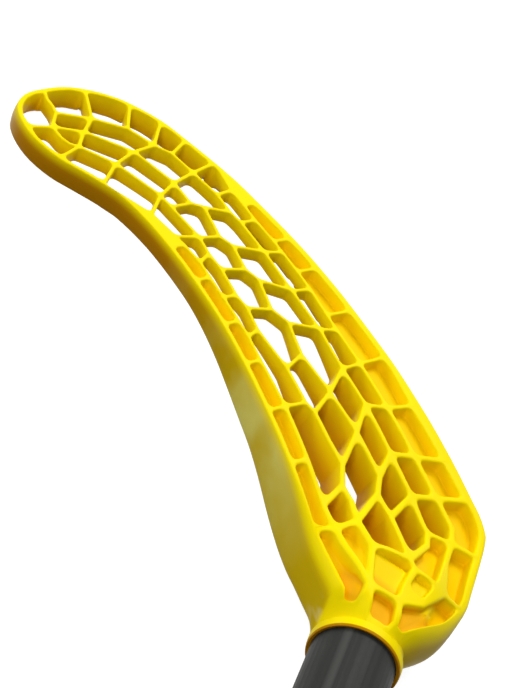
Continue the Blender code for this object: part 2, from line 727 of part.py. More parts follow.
def cross_recess(top):
    """A plus-shaped prism that cuts the driver's recess into a screw's head."""
    arm = SCREW_RECESS_ARM
    half = SCREW_RECESS_WIDTH / 2
    outline = [
        (arm, -half), (arm, half), (half, half), (half, arm), (-half, arm), (-half, half),
        (-arm, half), (-arm, -half), (-half, -half), (-half, -arm), (half, -arm), (half, -half),
    ]
    form = bmesh.new()
    base = form.faces.new([form.verts.new((top - SCREW_RECESS_DEPTH, y, z)) for y, z in outline])
    lifted = bmesh.ops.extrude_face_region(form, geom=[base])["geom"]
    raised = [item for item in lifted if isinstance(item, bmesh.types.BMVert)]
    bmesh.ops.translate(form, verts=raised, vec=(SCREW_RECESS_DEPTH + CUT_BEYOND, 0, 0))
    return form


def sleeve(name, start, length, thickness, material):
    """A band round the shaft, with its outer edges taken off."""
    inner = SHAFT_DIAMETER / 2 + FIT_GAP
    outer = inner + thickness
    end = start + length
    profile = [
        (start, inner), (end, inner), (end, outer - EDGE_CHAMFER), (end - EDGE_CHAMFER, outer),
        (start + EDGE_CHAMFER, outer), (start, outer - EDGE_CHAMFER),
    ]
    return finished_object(name, turned(profile, ROUND_STEPS), material)


def add_butt_cap(material):
    """A round-edged knob with a hollow plug that fits inside the shaft."""
    seat = shaft_ends()[0] - FIT_GAP
    butt = seat - CAP_LENGTH
    radius = CAP_DIAMETER / 2
    plug = shaft_inner_radius() - FIT_GAP
    end = seat + PLUG_LENGTH
    profile = [(butt, 0)]
    for step in range(CAP_STEPS + 1):
        angle = math.pi / 2 * step / CAP_STEPS
        profile.append((butt + CAP_ROUND * (1 - math.cos(angle)), radius - CAP_ROUND * (1 - math.sin(angle))))
    profile += [(seat - EDGE_CHAMFER, radius), (seat, radius - EDGE_CHAMFER), (seat, plug)]
    profile += [(end - PLUG_LEAD, plug), (end, plug - PLUG_LEAD / 2), (end, plug - PLUG_WALL)]
    profile += [(seat, plug - PLUG_WALL), (seat, 0)]
    return finished_object("butt_cap", turned(profile, ROUND_STEPS), material)


def world_points(thing, graph):
    mesh = thing.evaluated_get(graph).to_mesh()
    return [thing.matrix_world @ vertex.co for vertex in mesh.vertices]


def weight_and_centre(thing, graph):
    """The weight of a piece, and its weight times its middle, from its evaluated mesh."""
    form = bmesh.new()
    form.from_mesh(thing.evaluated_get(graph).to_mesh())
    bmesh.ops.transform(form, matrix=thing.matrix_world, verts=form.verts)
    total = 0.0
    moment = Vector()
    for corner in form.calc_loop_triangles():
        a, b, c = (loop.vert.co for loop in corner)
        part = a.dot(b.cross(c)) / 6
        total += part
        moment += part * (a + b + c) / 4
    form.free()
    density = DENSITY.get(thing.name, SCREW_DENSITY)
    return total * density, moment * density


def lay_on_floor(base, pieces):
    """Rests the stick on the hull's facet below its centre of mass, centred over the origin."""
    bpy.context.view_layer.update()
    graph = bpy.context.evaluated_depsgraph_get()
    weights = [weight_and_centre(piece, graph) for piece in pieces]
    centre = sum((moment for _, moment in weights), Vector()) / sum(weight for weight, _ in weights)
    hull = bmesh.new()
    for piece in pieces:
        for point in world_points(piece, graph):
            hull.verts.new(point)
    bmesh.ops.convex_hull(hull, input=hull.verts)
    bmesh.ops.delete(hull, geom=[vert for vert in hull.verts if not vert.link_faces], context="VERTS")
    hull.normal_update()
    down = min((face.normal for face in hull.faces if over_facet(centre, face)), key=lambda normal: normal.z)
    turn = down.rotation_difference(Vector((0, 0, -1))).to_matrix().to_4x4()
    corners = [turn @ vert.co for vert in hull.verts]
    hull.free()
    low = Vector([min(corner[axis] for corner in corners) for axis in range(3)])
    high = Vector([max(corner[axis] for corner in corners) for axis in range(3)])
    middle = (low + high) / 2
    base.matrix_world = Matrix.Translation((-middle.x, -middle.y, -low.z)) @ turn


def over_facet(centre, face):
    """Whether the point lies over a triangle of the hull, seen along the triangle's normal."""
    normal = face.normal
    corners = [vert.co for vert in face.verts]
    for one, other in zip(corners, corners[1:] + corners[:1]):
        if (other - one).cross(centre - one).dot(normal) < 0:
            return False
    return True


def main():
    remove_everything()
    base = bpy.data.objects.new("stick_frame", None)
    bpy.context.collection.objects.link(base)
    yellow = plain_material("blade_yellow", (0.88, 0.68, 0.0), 0.35)
    black = plain_material("shaft_black", (0.035, 0.035, 0.037), 0.4)
    rubber = plain_material("cap_rubber", (0.02, 0.02, 0.02), 0.7)
    foam = plain_material("grip_foam", (0.025, 0.025, 0.027), 0.8)
    tape = plain_material("tape_black", (0.02, 0.02, 0.022), 0.45)
    steel = plain_material("screw_steel", (0.55, 0.55, 0.56), 0.3, metallic=1.0)
    grip_start = shaft_ends()[0]
    tape_start = grip_start + GRIP_LENGTH + FIT_GAP
    pieces = [
        add_blade(yellow),
        add_shaft(black),
        add_butt_cap(rubber),
        sleeve("grip_band", grip_start, GRIP_LENGTH, GRIP_THICKNESS, foam),
        sleeve("grip_end_tape", tape_start, TAPE_LENGTH, TAPE_THICKNESS, tape),
        add_screw("blade_screw_1", FIRST_SCREW, steel),
        add_screw("blade_screw_2", SECOND_SCREW, steel),
    ]
    lay_on_floor(base, pieces)
    for thing in bpy.data.objects:
        if thing is not base:
            thing.parent = base


main()
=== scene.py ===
# %% [markdown]
# # A floorball stick, dressed for the camera
#
# A floorball stick is a plastic blade, moulded as a lattice of ribs, on a slim tube with a wound grip.
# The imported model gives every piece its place, but has hard edges, to save triangles. A subdivision
# surface would round them, and would shrink the thin ribs too. So the blade and the grip are made
# anew in finer mesh code, and the other pieces are copied with smooth shading.
#
# The first cell loads the model and keeps its box, to compare the dressed stick with it at the end.

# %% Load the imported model
import math
from functools import partialmethod

import bmesh
import bpy
import numpy as np
from mathutils import Matrix, Vector


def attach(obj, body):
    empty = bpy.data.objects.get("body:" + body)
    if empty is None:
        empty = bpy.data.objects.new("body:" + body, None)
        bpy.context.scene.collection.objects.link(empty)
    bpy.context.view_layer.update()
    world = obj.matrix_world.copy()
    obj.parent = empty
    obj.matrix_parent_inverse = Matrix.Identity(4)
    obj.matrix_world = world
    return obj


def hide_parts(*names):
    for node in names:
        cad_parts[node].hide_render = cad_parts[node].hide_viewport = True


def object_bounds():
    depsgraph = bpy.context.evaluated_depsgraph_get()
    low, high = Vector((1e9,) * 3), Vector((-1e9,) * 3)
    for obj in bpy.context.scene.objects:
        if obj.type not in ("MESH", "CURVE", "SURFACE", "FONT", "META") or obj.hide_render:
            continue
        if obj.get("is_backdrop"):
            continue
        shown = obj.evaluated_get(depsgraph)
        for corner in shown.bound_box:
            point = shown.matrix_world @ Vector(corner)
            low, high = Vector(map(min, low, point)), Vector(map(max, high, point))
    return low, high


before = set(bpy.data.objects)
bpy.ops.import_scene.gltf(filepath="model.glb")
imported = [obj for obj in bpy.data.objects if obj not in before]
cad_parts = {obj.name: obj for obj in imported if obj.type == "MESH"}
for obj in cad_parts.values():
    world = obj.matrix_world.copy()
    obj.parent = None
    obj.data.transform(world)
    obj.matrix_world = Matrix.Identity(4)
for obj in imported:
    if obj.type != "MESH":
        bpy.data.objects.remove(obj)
cad_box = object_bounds()
MM = 0.001
print("nodes:", sorted(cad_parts))

# %% [markdown]
# The stick lies on the floor a little rolled over. Its forms are simplest in a frame of its own: +X
# runs along the shaft from the butt to the blade, the middle of the socket's mouth is at zero, and +Z
# is square to the blade. That frame could be typed in as numbers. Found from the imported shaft's two
# ends, and from the side on which a screw stands out, it fits by itself.

# %% The stick's own frame
SHAFT_DIAMETER = 27.0
SOCKET_DEPTH = 28.0
FIT_GAP = 0.3
SCREW_ANGLE = math.radians(18.0)
END_SLICE = 2 * MM
PLACE_DIGITS = 7


def node_points(name):
    """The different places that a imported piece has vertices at, from low X to high X."""
    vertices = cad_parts[name].data.vertices
    places = {tuple(round(value, PLACE_DIGITS) for value in vertex.co) for vertex in vertices}
    return [Vector(place) for place in sorted(places)]


def middle(points):
    return sum(points, Vector()) / len(points)


def find_stick_frame():
    shaft = node_points("shaft")
    butt = middle([point for point in shaft if point.x < shaft[0].x + END_SLICE])
    near = middle([point for point in shaft if point.x > shaft[-1].x - END_SLICE])
    axis = (near - butt).normalized()
    origin = near - axis * (SOCKET_DEPTH - FIT_GAP) * MM
    screw = middle(node_points("blade_screw_1")) - origin
    out = (screw - axis * screw.dot(axis)).normalized()
    up = math.sin(SCREW_ANGLE) * axis.cross(out) - math.cos(SCREW_ANGLE) * out
    turn = Matrix((axis, up.cross(axis), up)).transposed().to_4x4()
    return Matrix.Translation(origin) @ turn


STICK = find_stick_frame()
print("stick frame:", [[round(value, 5) for value in row] for row in STICK])

# %% [markdown]
# ## The blade's drawing
#
# The real blade is moulded in one shot: a rim, five long ribs, and short ribs across. Curves with a
# bevel could draw it, but bevelled curves only run through each other where they cross. So it is a
# net of knots, and each cell of the net gets an edge of its own. A knot is in millimetres, along from
# the heel and up from the sole. A rib that turns at a cross rib has a knot there.

# %% Knots of the lattice
RIM = [
    (6.3, 95.8), (4.4, 83), (3.4, 69), (6.6, 54.3), (11.2, 45.3), (19.6, 30.3),
    (25.2, 21.6), (28.7, 18.5), (33.8, 16), (39.4, 14.5), (54.8, 10.6), (78.5, 5.8),
    (101, 0.5), (123.5, -3), (144.5, -3.7), (160, -3.3), (179.5, -1.8), (191, -0.8),
    (203, 1.3), (217, 4.4), (229, 7.5), (240.5, 14.3), (246.5, 20.5), (251.3, 29),
    (253.8, 38), (253.7, 48), (252.3, 57), (248.7, 64), (243, 69.3), (234.5, 72.7),
    (225.4, 73.5), (216, 71.3), (208.5, 67), (200.5, 62.3), (192, 58.8), (179.5, 57.5),
    (167, 57.7), (151, 59.2), (131, 62.2), (114, 66.7), (94.5, 74), (74, 82.2),
    (52, 91), (45, 94.1), (34.5, 99), (28.3, 102.4), (24.2, 105.8),
]
RIB_A = [
    (28.9, 37.8), (33.8, 32.8), (45.2, 30.3), (61.5, 26.8), (81.5, 22), (101.5, 16.5),
    (117, 13.2), (124.5, 12), (136.5, 9.6), (145.5, 8.8), (155, 7.9), (161, 7.7),
    (172, 7.4), (180, 6.5), (188, 5.8), RIM[18],
]
RIB_B = [
    (35.3, 46), (49.2, 40.6), (65.5, 36.5), (85.4, 30.5), (101.5, 26.5), (119.8, 20.7),
    (138, 19), (157, 16.5), (172, 15.4), (177.5, 15.9), (187, 14.8), (199.6, 16.5),
    (210.7, 17.9), (216.3, 22.6), (226.8, 27.4), (234.4, 39.6), (239.7, 53.3),
]
RIB_C = [
    (28.1, 70.4), (44.7, 58.6), (53.9, 55.1), (59.2, 48.6), (76.5, 44.3), (94, 41.1),
    (111.5, 38.9), (125.4, 32.5), (132.2, 35.4), (145.6, 30.1), (151, 32.2), (162.4, 28.7),
    (167.5, 31.1), (182.4, 26.1), (185, 30.9), (196, 29.9), (214.4, 35), (227.9, 49.1),
    (232.4, 61.2),
]
RIB_D = [
    (47.5, 74.8), (54.5, 69.3), (60.8, 67.3), (67.5, 60.8), (77, 58.8), (88.5, 55),
    (93, 55.3), (108, 50.3), (125.7, 48.8), (135.4, 45.9), (141, 46), (153.6, 43.1),
    (161, 42.7), (169, 40.6), (185, 41.3), (191, 41.4), (209.5, 48.4), (220.5, 57.8),
]
RIB_E = [
    (48, 84.3), (57.3, 80.3), (73.3, 73.6), (94, 65), (113.8, 58.5), (124, 55.3),
    (131, 54), (142, 52.5), (151, 51), (158, 50), (167, 50.3), (171.5, 51),
    (183, 52.8), RIM[33],
]
MOUTH_BACK = (20.3, 103.6)
MOUTH_FORK = (17, 101.8)
MOUTH_HEEL = (10.7, 98.3)
NECK_FORK = (26.3, 93.6)
NECK_TIP = (21.9, 100.9)
NECK_BEND = [(41.4, 87.7), (33.5, 90.5)]
NECK_CROSS = (37.3, 80.6)
HEEL_CROSS = (17.3, 86.8)
HEEL_BEND = (12, 93.5)
HEEL_LEFT = (13.5, 79)
HEEL_RIGHT = (21, 80.3)
HEEL_TOP = (24.5, 71.4)
HEEL_FORK = (16.5, 66.3)
HEEL_NOTCH = (14, 64.3)
HEEL_MID = (23.5, 49.5)
HEEL_STUB = (24.3, 33.5)
HEEL_LINK = (31.2, 52.5)
TOE_HOLE_BEND = [(248, 51), (243, 52)]
TOE_CURVE = [(226, 61.7), (222.6, 60.7)]
print("knots of the rim and the ribs:", [len(row) for row in (RIM, RIB_A, RIB_B, RIB_C, RIB_D, RIB_E)])

# %% [markdown]
# The rim of a real blade is one smooth curve, and its ribs run straight between crossings. A Blender
# curve could pass through the rim's knots, but its points would have to be read back. A short formula
# gives them at once. The extra points on every side let the moulding follow the swelling of the neck.

# %% Points between the knots
RIM_SPACING = 9.0
RIM_FINE = 3
RIB_SPACING = 4.0


def curve_point(knots, index, t):
    """A point of the smooth curve through the knots, past the knot with this number."""
    before = Vector(knots[max(index - 1, 0)])
    start = Vector(knots[index])
    end = Vector(knots[index + 1])
    after = Vector(knots[min(index + 2, len(knots) - 1)])
    curve = (2 * start + (end - before) * t + (2 * before - 5 * start + 4 * end - after) * t ** 2
             + (3 * start - before - 3 * end + after) * t ** 3) / 2
    return tuple(curve)


def smooth_chain(knots):
    """The knots with points added between them, and the finer points of each piece, both ways."""
    chain = []
    fine = {}
    for index in range(len(knots) - 1):
        length = (Vector(knots[index + 1]) - Vector(knots[index])).length
        steps = max(1, round(length / RIM_SPACING))
        marks = [knots[index]] + [curve_point(knots, index, step / steps) for step in range(1, steps)]
        marks.append(knots[index + 1])
        for step, (one, other) in enumerate(zip(marks, marks[1:])):
            shares = [(step + part / RIM_FINE) / steps for part in range(1, RIM_FINE)]
            fine[one, other] = [curve_point(knots, index, share) for share in shares]
            fine[other, one] = fine[one, other][::-1]
        chain += marks[:-1]
    return chain + [knots[-1]], fine


SMOOTH_RIM, RIM_PIECES = smooth_chain(RIM)
RIM_POINTS = set(SMOOTH_RIM).union(*RIM_PIECES.values())


def between(one, other):
    """The points that a side of the net has between two of its knots."""
    if (one, other) in RIM_PIECES:
        return RIM_PIECES[one, other]
    low, high = sorted((one, other))
    steps = max(1, round((Vector(high) - Vector(low)).length / RIB_SPACING))
    points = [tuple(Vector(low).lerp(Vector(high), step / steps)) for step in range(1, steps)]
    return points if low == one else points[::-1]


print("rim points:", len(RIM_POINTS))

# %% [markdown]
# Most cells go right through the blade. Those along its edges and round the socket have a floor, and
# a few stay full. Each cell could be listed as a ring of knots, but every rib would be written twice.
# Two neighbouring ribs, with the pairs of knots that cross ribs join, give a whole row of cells.

# %% Rows of cells
A_TO_B = [(0, 0), (2, 1), (3, 2), (4, 3), (5, 4), (6, 5), (8, 6), (10, 7), (12, 8), (14, 10), (15, 11)]
RIM_TO_B = [(18, 11), (19, 12), (20, 13), (21, 14), (23, 15)]
B_TO_C = [(1, 1), (2, 3), (3, 4), (4, 5), (5, 7), (6, 9), (7, 11), (9, 13), (11, 15), (13, 16)]
B_TO_C += [(15, 17), (16, 18)]
C_TO_D = [(2, 0), (4, 3), (5, 5), (6, 7), (8, 9), (10, 11), (12, 13), (14, 14), (15, 15), (16, 16)]
C_TO_D += [(17, 17)]
D_TO_E = [(0, 0), (2, 1), (6, 3), (8, 5), (10, 7), (12, 9), (13, 11), (15, 12), (16, 13)]
RIM_TO_A = [(9, 2), (10, 3), (11, 4), (12, 5), (13, 7), (14, 9), (15, 11), (16, 13)]
E_TO_RIM = [(0, 42), (2, 41), (3, 40), (4, 39), (6, 38), (8, 37), (10, 36)]


def span(knots, first, last):
    """The points of a chain between two of its knots, both included."""
    chain = SMOOTH_RIM if knots is RIM else knots
    start = chain.index(knots[first])
    end = chain.index(knots[last])
    return chain[start:end + 1] if start <= end else chain[end:start + 1][::-1]


def ladder(lower, upper, pairs):
    """The cells between two long ribs, from one cross rib to the next, each a pair of knot numbers."""
    steps = zip(pairs, pairs[1:])
    return [span(lower, a, next_a) + span(upper, next_b, b) for (a, b), (next_a, next_b) in steps]


print("cells between the first two ribs:", len(ladder(RIB_A, RIB_B, A_TO_B)))


# %% All cells
def open_cells():
    """Cells that go right through the blade."""
    return [
        *ladder(RIB_A, RIB_B, A_TO_B), *ladder(RIM, RIB_B, RIM_TO_B), *ladder(RIB_B, RIB_C, B_TO_C),
        *ladder(RIB_C, RIB_D, C_TO_D), *ladder(RIB_D, RIB_E, D_TO_E),
        span(RIM, 23, 25) + TOE_HOLE_BEND + span(RIB_B, 16, 15),
        span(RIM, 25, 29) + [RIB_C[18], RIB_B[16]] + TOE_HOLE_BEND[::-1],
        span(RIM, 29, 31) + [RIB_D[17]] + TOE_CURVE[::-1] + [RIB_C[18]],
        [RIB_C[17], RIB_C[18]] + TOE_CURVE + [RIB_D[17]],
        span(RIB_D, 16, 17) + span(RIM, 31, 33),
        span(RIB_B, 0, 1) + span(RIB_C, 1, 0) + [HEEL_LINK],
        span(RIB_C, 1, 2) + [RIB_D[0], NECK_CROSS, RIB_C[0]],
    ]


def pocket_cells():
    """Shallow cells with a floor, along both edges and round the socket."""
    return [
        *ladder(RIM, RIB_A, RIM_TO_A), *ladder(RIB_E, RIM, E_TO_RIM),
        [RIB_E[0]] + NECK_BEND + [NECK_FORK, NECK_TIP] + span(RIM, 45, 42),
        [RIB_D[0], RIB_E[0]] + NECK_BEND + [NECK_FORK, NECK_CROSS],
        [RIB_C[0], NECK_CROSS, NECK_FORK, HEEL_CROSS, HEEL_RIGHT, HEEL_TOP],
        [HEEL_CROSS, NECK_FORK, MOUTH_FORK, MOUTH_HEEL, HEEL_BEND],
        [HEEL_FORK, HEEL_TOP, HEEL_RIGHT, HEEL_LEFT],
        span(RIM, 0, 3) + [HEEL_NOTCH, HEEL_LEFT, HEEL_CROSS, HEEL_BEND, MOUTH_HEEL],
        [RIB_A[0], RIB_B[0], HEEL_LINK, RIB_C[0], HEEL_TOP, HEEL_FORK, HEEL_MID],
        span(RIM, 3, 5) + [HEEL_STUB, RIB_A[0], HEEL_MID, HEEL_NOTCH],
        span(RIM, 5, 9) + span(RIB_A, 2, 0) + [HEEL_STUB],
    ]


def solid_cells():
    """Parts of the net that stay full."""
    return [
        span(RIM, 16, 18) + span(RIB_A, 14, 13),
        span(RIB_E, 10, 13) + span(RIM, 34, 36),
        [HEEL_LEFT, HEEL_RIGHT, HEEL_CROSS],
        [HEEL_NOTCH, HEEL_LEFT, HEEL_FORK, HEEL_MID],
        span(RIM, 45, 46) + [MOUTH_BACK, MOUTH_FORK, NECK_FORK, NECK_TIP],
    ]


def clean_cell(points):
    """The cell's points once each, anticlockwise."""
    points = list(dict.fromkeys(points))
    area = sum(a[0] * b[1] - b[0] * a[1] for a, b in zip(points, points[1:] + points[:1]))
    return points if area > 0 else points[::-1]


print("cells:", len(open_cells()), "open,", len(pocket_cells()), "pockets,", len(solid_cells()), "full")

# %% [markdown]
# ## Thickness and bend
#
# The real blade is thin at the toe, thicker at the heel, and swells over the round socket. Sculpting
# could give such a form, but not at set sizes. Formulas on whole arrays of points can, and are fast.
# The first one gives half the thickness. It needs each point's place along the shaft, which meets the
# drawing at the lie angle.

# %% Thickness of the plate
LIE_ANGLE = math.radians(61.0)
MOUTH_ALONG = 12.0
MOUTH_UP = 99.0
BORE_RADIUS = SHAFT_DIAMETER / 2 + FIT_GAP
SOCKET_WALL = 1.2
SOCKET_RADIUS = BORE_RADIUS + SOCKET_WALL
TOE_THICKNESS = 8.5
HEEL_THICKNESS = 16.0
THICKEN_START = 115.0
THICKEN_LENGTH = 60.0
NECK_COVER = 2.0
NECK_STEADY = 25.0
NECK_FADE = 40.0
SHOULDER_START = 1.25
FRONT_SHOULDER = 11.0
BACK_SHOULDER = 5.0
MOUTH_BLEND = 8.0
BACK_MOUTH_BLEND = 24.0


def ease(t):
    """From 0 to 1, softly at both ends."""
    t = np.clip(t, 0.0, 1.0)
    return t * t * (3 - 2 * t)


def blend(low, high, t):
    return low + (high - low) * ease(t)


def from_mouth(points):
    """Places in the drawing, seen from the middle of the socket's mouth."""
    return points[:, 0] - MOUTH_ALONG, points[:, 1] - MOUTH_UP


def to_shaft(u, v):
    """From the drawing's directions to the shaft's: how far into the socket, and how far aside."""
    into = u * math.cos(LIE_ANGLE) - v * math.sin(LIE_ANGLE)
    aside = u * math.sin(LIE_ANGLE) + v * math.cos(LIE_ANGLE)
    return into, aside


def half_thickness(points, shoulder, mouth_blend):
    """Half the thickness of the moulding: thin at the toe, round over the socket."""
    u, v = from_mouth(points)
    into, aside = to_shaft(u, v)
    plate = blend(TOE_THICKNESS, HEEL_THICKNESS, (THICKEN_START - u) / THICKEN_LENGTH) / 2
    neck = blend(SOCKET_RADIUS + NECK_COVER, plate, (into - NECK_STEADY) / NECK_FADE)
    thick = blend(plate, neck, SHOULDER_START - np.abs(aside) / (SOCKET_RADIUS + shoulder))
    socket = np.sqrt(np.maximum(SOCKET_RADIUS ** 2 - aside ** 2, (TOE_THICKNESS / 2) ** 2))
    return blend(socket, thick, into / mouth_blend)


sample = np.array([RIM[24], RIB_D[3], NECK_CROSS])
print("half thickness at toe, heel, neck:", half_thickness(sample, FRONT_SHOULDER, MOUTH_BLEND).round(2))

# %% [markdown]
# By the socket the face rolls over into the neck's round side, and along the upper side the rim's
# back edge stands deeper in three places. A bevel gives each edge one width. These formulas let both
# swell and fade, as they do on the real blade.

# %% Edges of the rim
NECK_ROLL = 9.0
HEEL_ROLL = 7.0
ROLL_LENGTH = 50.0
LEAST_REACH = 1e-6
BACK_EDGE_UP = 50.0
# Middle, depth, reach to the heel and reach to the toe of each deeper stretch
DEEP_EDGES = [(44.0, 3.0, 28.0, 40.0), (102.0, 3.2, 42.0, 38.0), (192.0, 0.7, 34.0, 50.0)]


def rim_distance(points):
    nearest = np.full(len(points), np.inf)
    for one, other in zip(SMOOTH_RIM, SMOOTH_RIM[1:]):
        start = np.array(one)
        run = np.array(other) - start
        t = np.clip((points - start) @ run / (run @ run), 0, 1)
        nearest = np.minimum(nearest, np.linalg.norm(points - start - t[:, None] * run, axis=1))
    return nearest


def roll_off(into, aside, from_rim):
    """How much lower the front lies near the rim, where the neck turns into its round side."""
    widest = np.where(aside > 0, NECK_ROLL, HEEL_ROLL)
    reach = np.maximum(blend(widest, 0.0, into / ROLL_LENGTH), LEAST_REACH)
    return np.maximum(reach - from_rim, 0.0) ** 2 / (2 * reach)


def deeper_edge(points):
    """How much deeper the rim's back edge stands along the blade's upper side."""
    u, _ = from_mouth(points)
    deeper = np.zeros(len(points))
    for centre, depth, to_heel, to_toe in DEEP_EDGES:
        deeper += depth * ease(1 - np.abs(u - centre) / np.where(u < centre, to_heel, to_toe))
    return np.where(points[:, 1] > BACK_EDGE_UP, deeper, 0.0)


print("deepest back edge, mm:", deeper_edge(np.array(SMOOTH_RIM)).max().round(2))

# %% [markdown]
# The real pockets are shallow. Each could be cut with a Boolean, but that leaves long thin faces on
# curved walls. With four heights over each point, front, back, pocket floor and its underside, no cut
# is needed. Beside the mouth the floors go into the socket's wall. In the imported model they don't.

# %% Heights of the surfaces
BACK_RIM = 1.9
RIB_SETBACK = 3.4
TOE_SETBACK = 2.4
RIB_SLOPE = 3.0
TOE_RIM_START = 190.0
TOE_RIM_FADE = 30.0
FRONT_POCKET = 4.5
HEEL_POCKET = 5.0
DEEP_POCKET_START = 70.0
DEEP_POCKET_FADE = 40.0
POCKET_FLOOR = 1.3
BACK_POCKET = 5.0
SOCKET_DOME = 5.0
SOLID_ROUND_SOCKET = 10.0
SHELF_COVER = -0.9
LEAST_POCKET = 1.4
SHELF_REACH = 17.0
SHELF_SIDE_FADE = 6.0
SHELF_END = 31.5
SHELF_END_FADE = 3.5


def surface_heights(points, from_rim):
    """Heights of the front, the back and the two sides of a pocket's floor over each point."""
    into, aside = to_shaft(*from_mouth(points))
    front = half_thickness(points, FRONT_SHOULDER, MOUTH_BLEND) - roll_off(into, aside, from_rim)
    share = ease((from_rim - BACK_RIM) / RIB_SLOPE)
    ribs = blend(RIB_SETBACK, TOE_SETBACK, (points[:, 0] - TOE_RIM_START) / TOE_RIM_FADE)
    back = ribs * share - deeper_edge(points) * (1 - share)
    back -= half_thickness(points, BACK_SHOULDER, BACK_MOUTH_BLEND)
    floor = front - blend(FRONT_POCKET, HEEL_POCKET, (DEEP_POCKET_START - points[:, 0]) / DEEP_POCKET_FADE)
    shelf = np.minimum(np.maximum(floor, SOCKET_RADIUS + SHELF_COVER), front - LEAST_POCKET)
    over = ease((SHELF_REACH - np.abs(aside)) / SHELF_SIDE_FADE) * ease((SHELF_END - into) / SHELF_END_FADE)
    floor = floor + (shelf - floor) * over
    clear = np.maximum(np.abs(aside) - SOCKET_RADIUS, into - SOCKET_DEPTH - SOCKET_DOME)
    web = blend(back + BACK_POCKET, floor - POCKET_FLOOR, clear / SOLID_ROUND_SOCKET)
    return front, back, floor, web


heights = surface_heights(sample, rim_distance(sample))
print("front, back, floor, web, mm:", [height.round(1).tolist() for height in heights])

# %% [markdown]
# The blade is bent into a hook, to hold the ball. A Simple Deform modifier could bend it, but takes
# its limits as shares of the mesh. A formula bends it along an arc from a set place on.

# %% The hook
HOOK_START = 40.0
HOOK_PER_MM = math.radians(6.0) / 100.0


def to_stick_frame(points, heights):
    """Bends the flat drawing into the hook and lays it in the stick's frame, in millimetres."""
    u, v = from_mouth(points)
    turn = HOOK_PER_MM * np.maximum(u - HOOK_START, 0)
    bent = np.minimum(u, HOOK_START) + np.sin(turn) / HOOK_PER_MM + heights * np.sin(turn)
    rise = heights * np.cos(turn) - (1 - np.cos(turn)) / HOOK_PER_MM
    return np.stack([*to_shaft(bent, v), rise], axis=1)


print("toe, heel, neck in the stick's frame:", to_stick_frame(sample, heights[0]).round(1).tolist())

# %% [markdown]
# ## Cell edges
#
# On the real blade each cell has walls of some thickness and round corners. An inset and a bevel in
# edit mode could make them, but would clash in the narrow cells. Here the edge is the ring of knots
# moved in by half a rib, with round corners. Taken at several distances, it also gives the rounded
# top of the ribs and the fillet at the foot of a wall.

# %% Widths of the ribs and the rim
TOE_RIB = 1.4
HEEL_RIB = 2.4
THIN_RIB_START = 40.0
THIN_RIB_FADE = 70.0
NECK_RIM = 2.4
NECK_RIM_END = 60.0
NECK_RIM_FADE = 30.0
SOLE_RIM = 3.3
TOE_RIM = 2.0
HEEL_RIM = 5.5
HEEL_RIM_MIDDLE = 63.0
HEEL_RIM_REACH = 31.0
HEEL_RIM_FADE = 18.0
MOUTH_RIM = 2.4
HEEL_MOUTH_RIM = 4.8
BACK_EDGE_ALONG = 15.0


def heel_to_toe(heel, toe, along):
    """A size that changes where the ribs get thinner."""
    return blend(heel, toe, (along - THIN_RIB_START) / THIN_RIB_FADE)


def edge_inset(one, other):
    """How far a cell's side stands in from the line between two knots."""
    along = (one[0] + other[0]) / 2
    up = (one[1] + other[1]) / 2
    if {one, other} == {MOUTH_FORK, MOUTH_HEEL}:
        return MOUTH_RIM
    if {one, other} == {RIM[0], MOUTH_HEEL}:
        return HEEL_MOUTH_RIM
    if one not in SMOOTH_RIM or other not in SMOOTH_RIM:
        return heel_to_toe(HEEL_RIB, TOE_RIB, along) / 2
    if up > BACK_EDGE_UP and along > BACK_EDGE_ALONG:
        return blend(BACK_RIM, NECK_RIM, (NECK_RIM_END - along) / NECK_RIM_FADE)
    sole = blend(SOLE_RIM, HEEL_RIM, (HEEL_RIM_REACH - abs(along - HEEL_RIM_MIDDLE)) / HEEL_RIM_FADE)
    return blend(sole, TOE_RIM, (along - TOE_RIM_START) / TOE_RIM_FADE)


print("rim's width at sole and back, mm:", *(round(edge_inset(*RIM[at:at + 2]), 2) for at in (12, 38)))

# %% The rounded edge of a cell
CELL_RADIUS = 2.4
HEEL_CELL_RADIUS = 2.6
CORNER_STEPS = 5
SHARP_TURN = 0.2
MOST_OF_SIDE = 0.45


def cell_corners(points, extra):
    """The cell's corners, moved in by each side's inset and a bit extra, with the sine of each turn."""
    sides = []
    for one, other in zip(points, points[1:] + points[:1]):
        direction = (Vector(other) - Vector(one)).normalized()
        inward = Vector((-direction.y, direction.x))
        sides.append((Vector(one), direction, inward, edge_inset(one, other) + extra))
    corners = []
    for index, (start, direction, inward, inset) in enumerate(sides):
        _, before, before_in, before_inset = sides[index - 1]
        turn = before.x * direction.y - before.y * direction.x
        if abs(turn) < SHARP_TURN and before.dot(direction) > 0:
            corners.append((start + (inward + before_in).normalized() * (inset + before_inset) / 2, turn))
            continue
        offset = inward * inset - before_in * before_inset
        slide = (offset.x * direction.y - offset.y * direction.x) / turn
        corners.append((start + before_in * before_inset + before * slide, turn))
    return corners


def corner_arc(corner, turn, back, ahead, extra):
    """The points of a cell's corner: one, or a curve where the corner is sharp."""
    if turn < SHARP_TURN:
        return [corner]
    radius = heel_to_toe(HEEL_CELL_RADIUS, CELL_RADIUS, corner.x) - extra
    longest = MOST_OF_SIDE * min(back.length, ahead.length)
    reach = min(radius / math.tan(back.angle(ahead) / 2), longest)
    first = corner + back.normalized() * reach
    last = corner + ahead.normalized() * reach
    shares = [step / CORNER_STEPS for step in range(CORNER_STEPS + 1)]
    return [first * (1 - t) ** 2 + corner * 2 * t * (1 - t) + last * t ** 2 for t in shares]


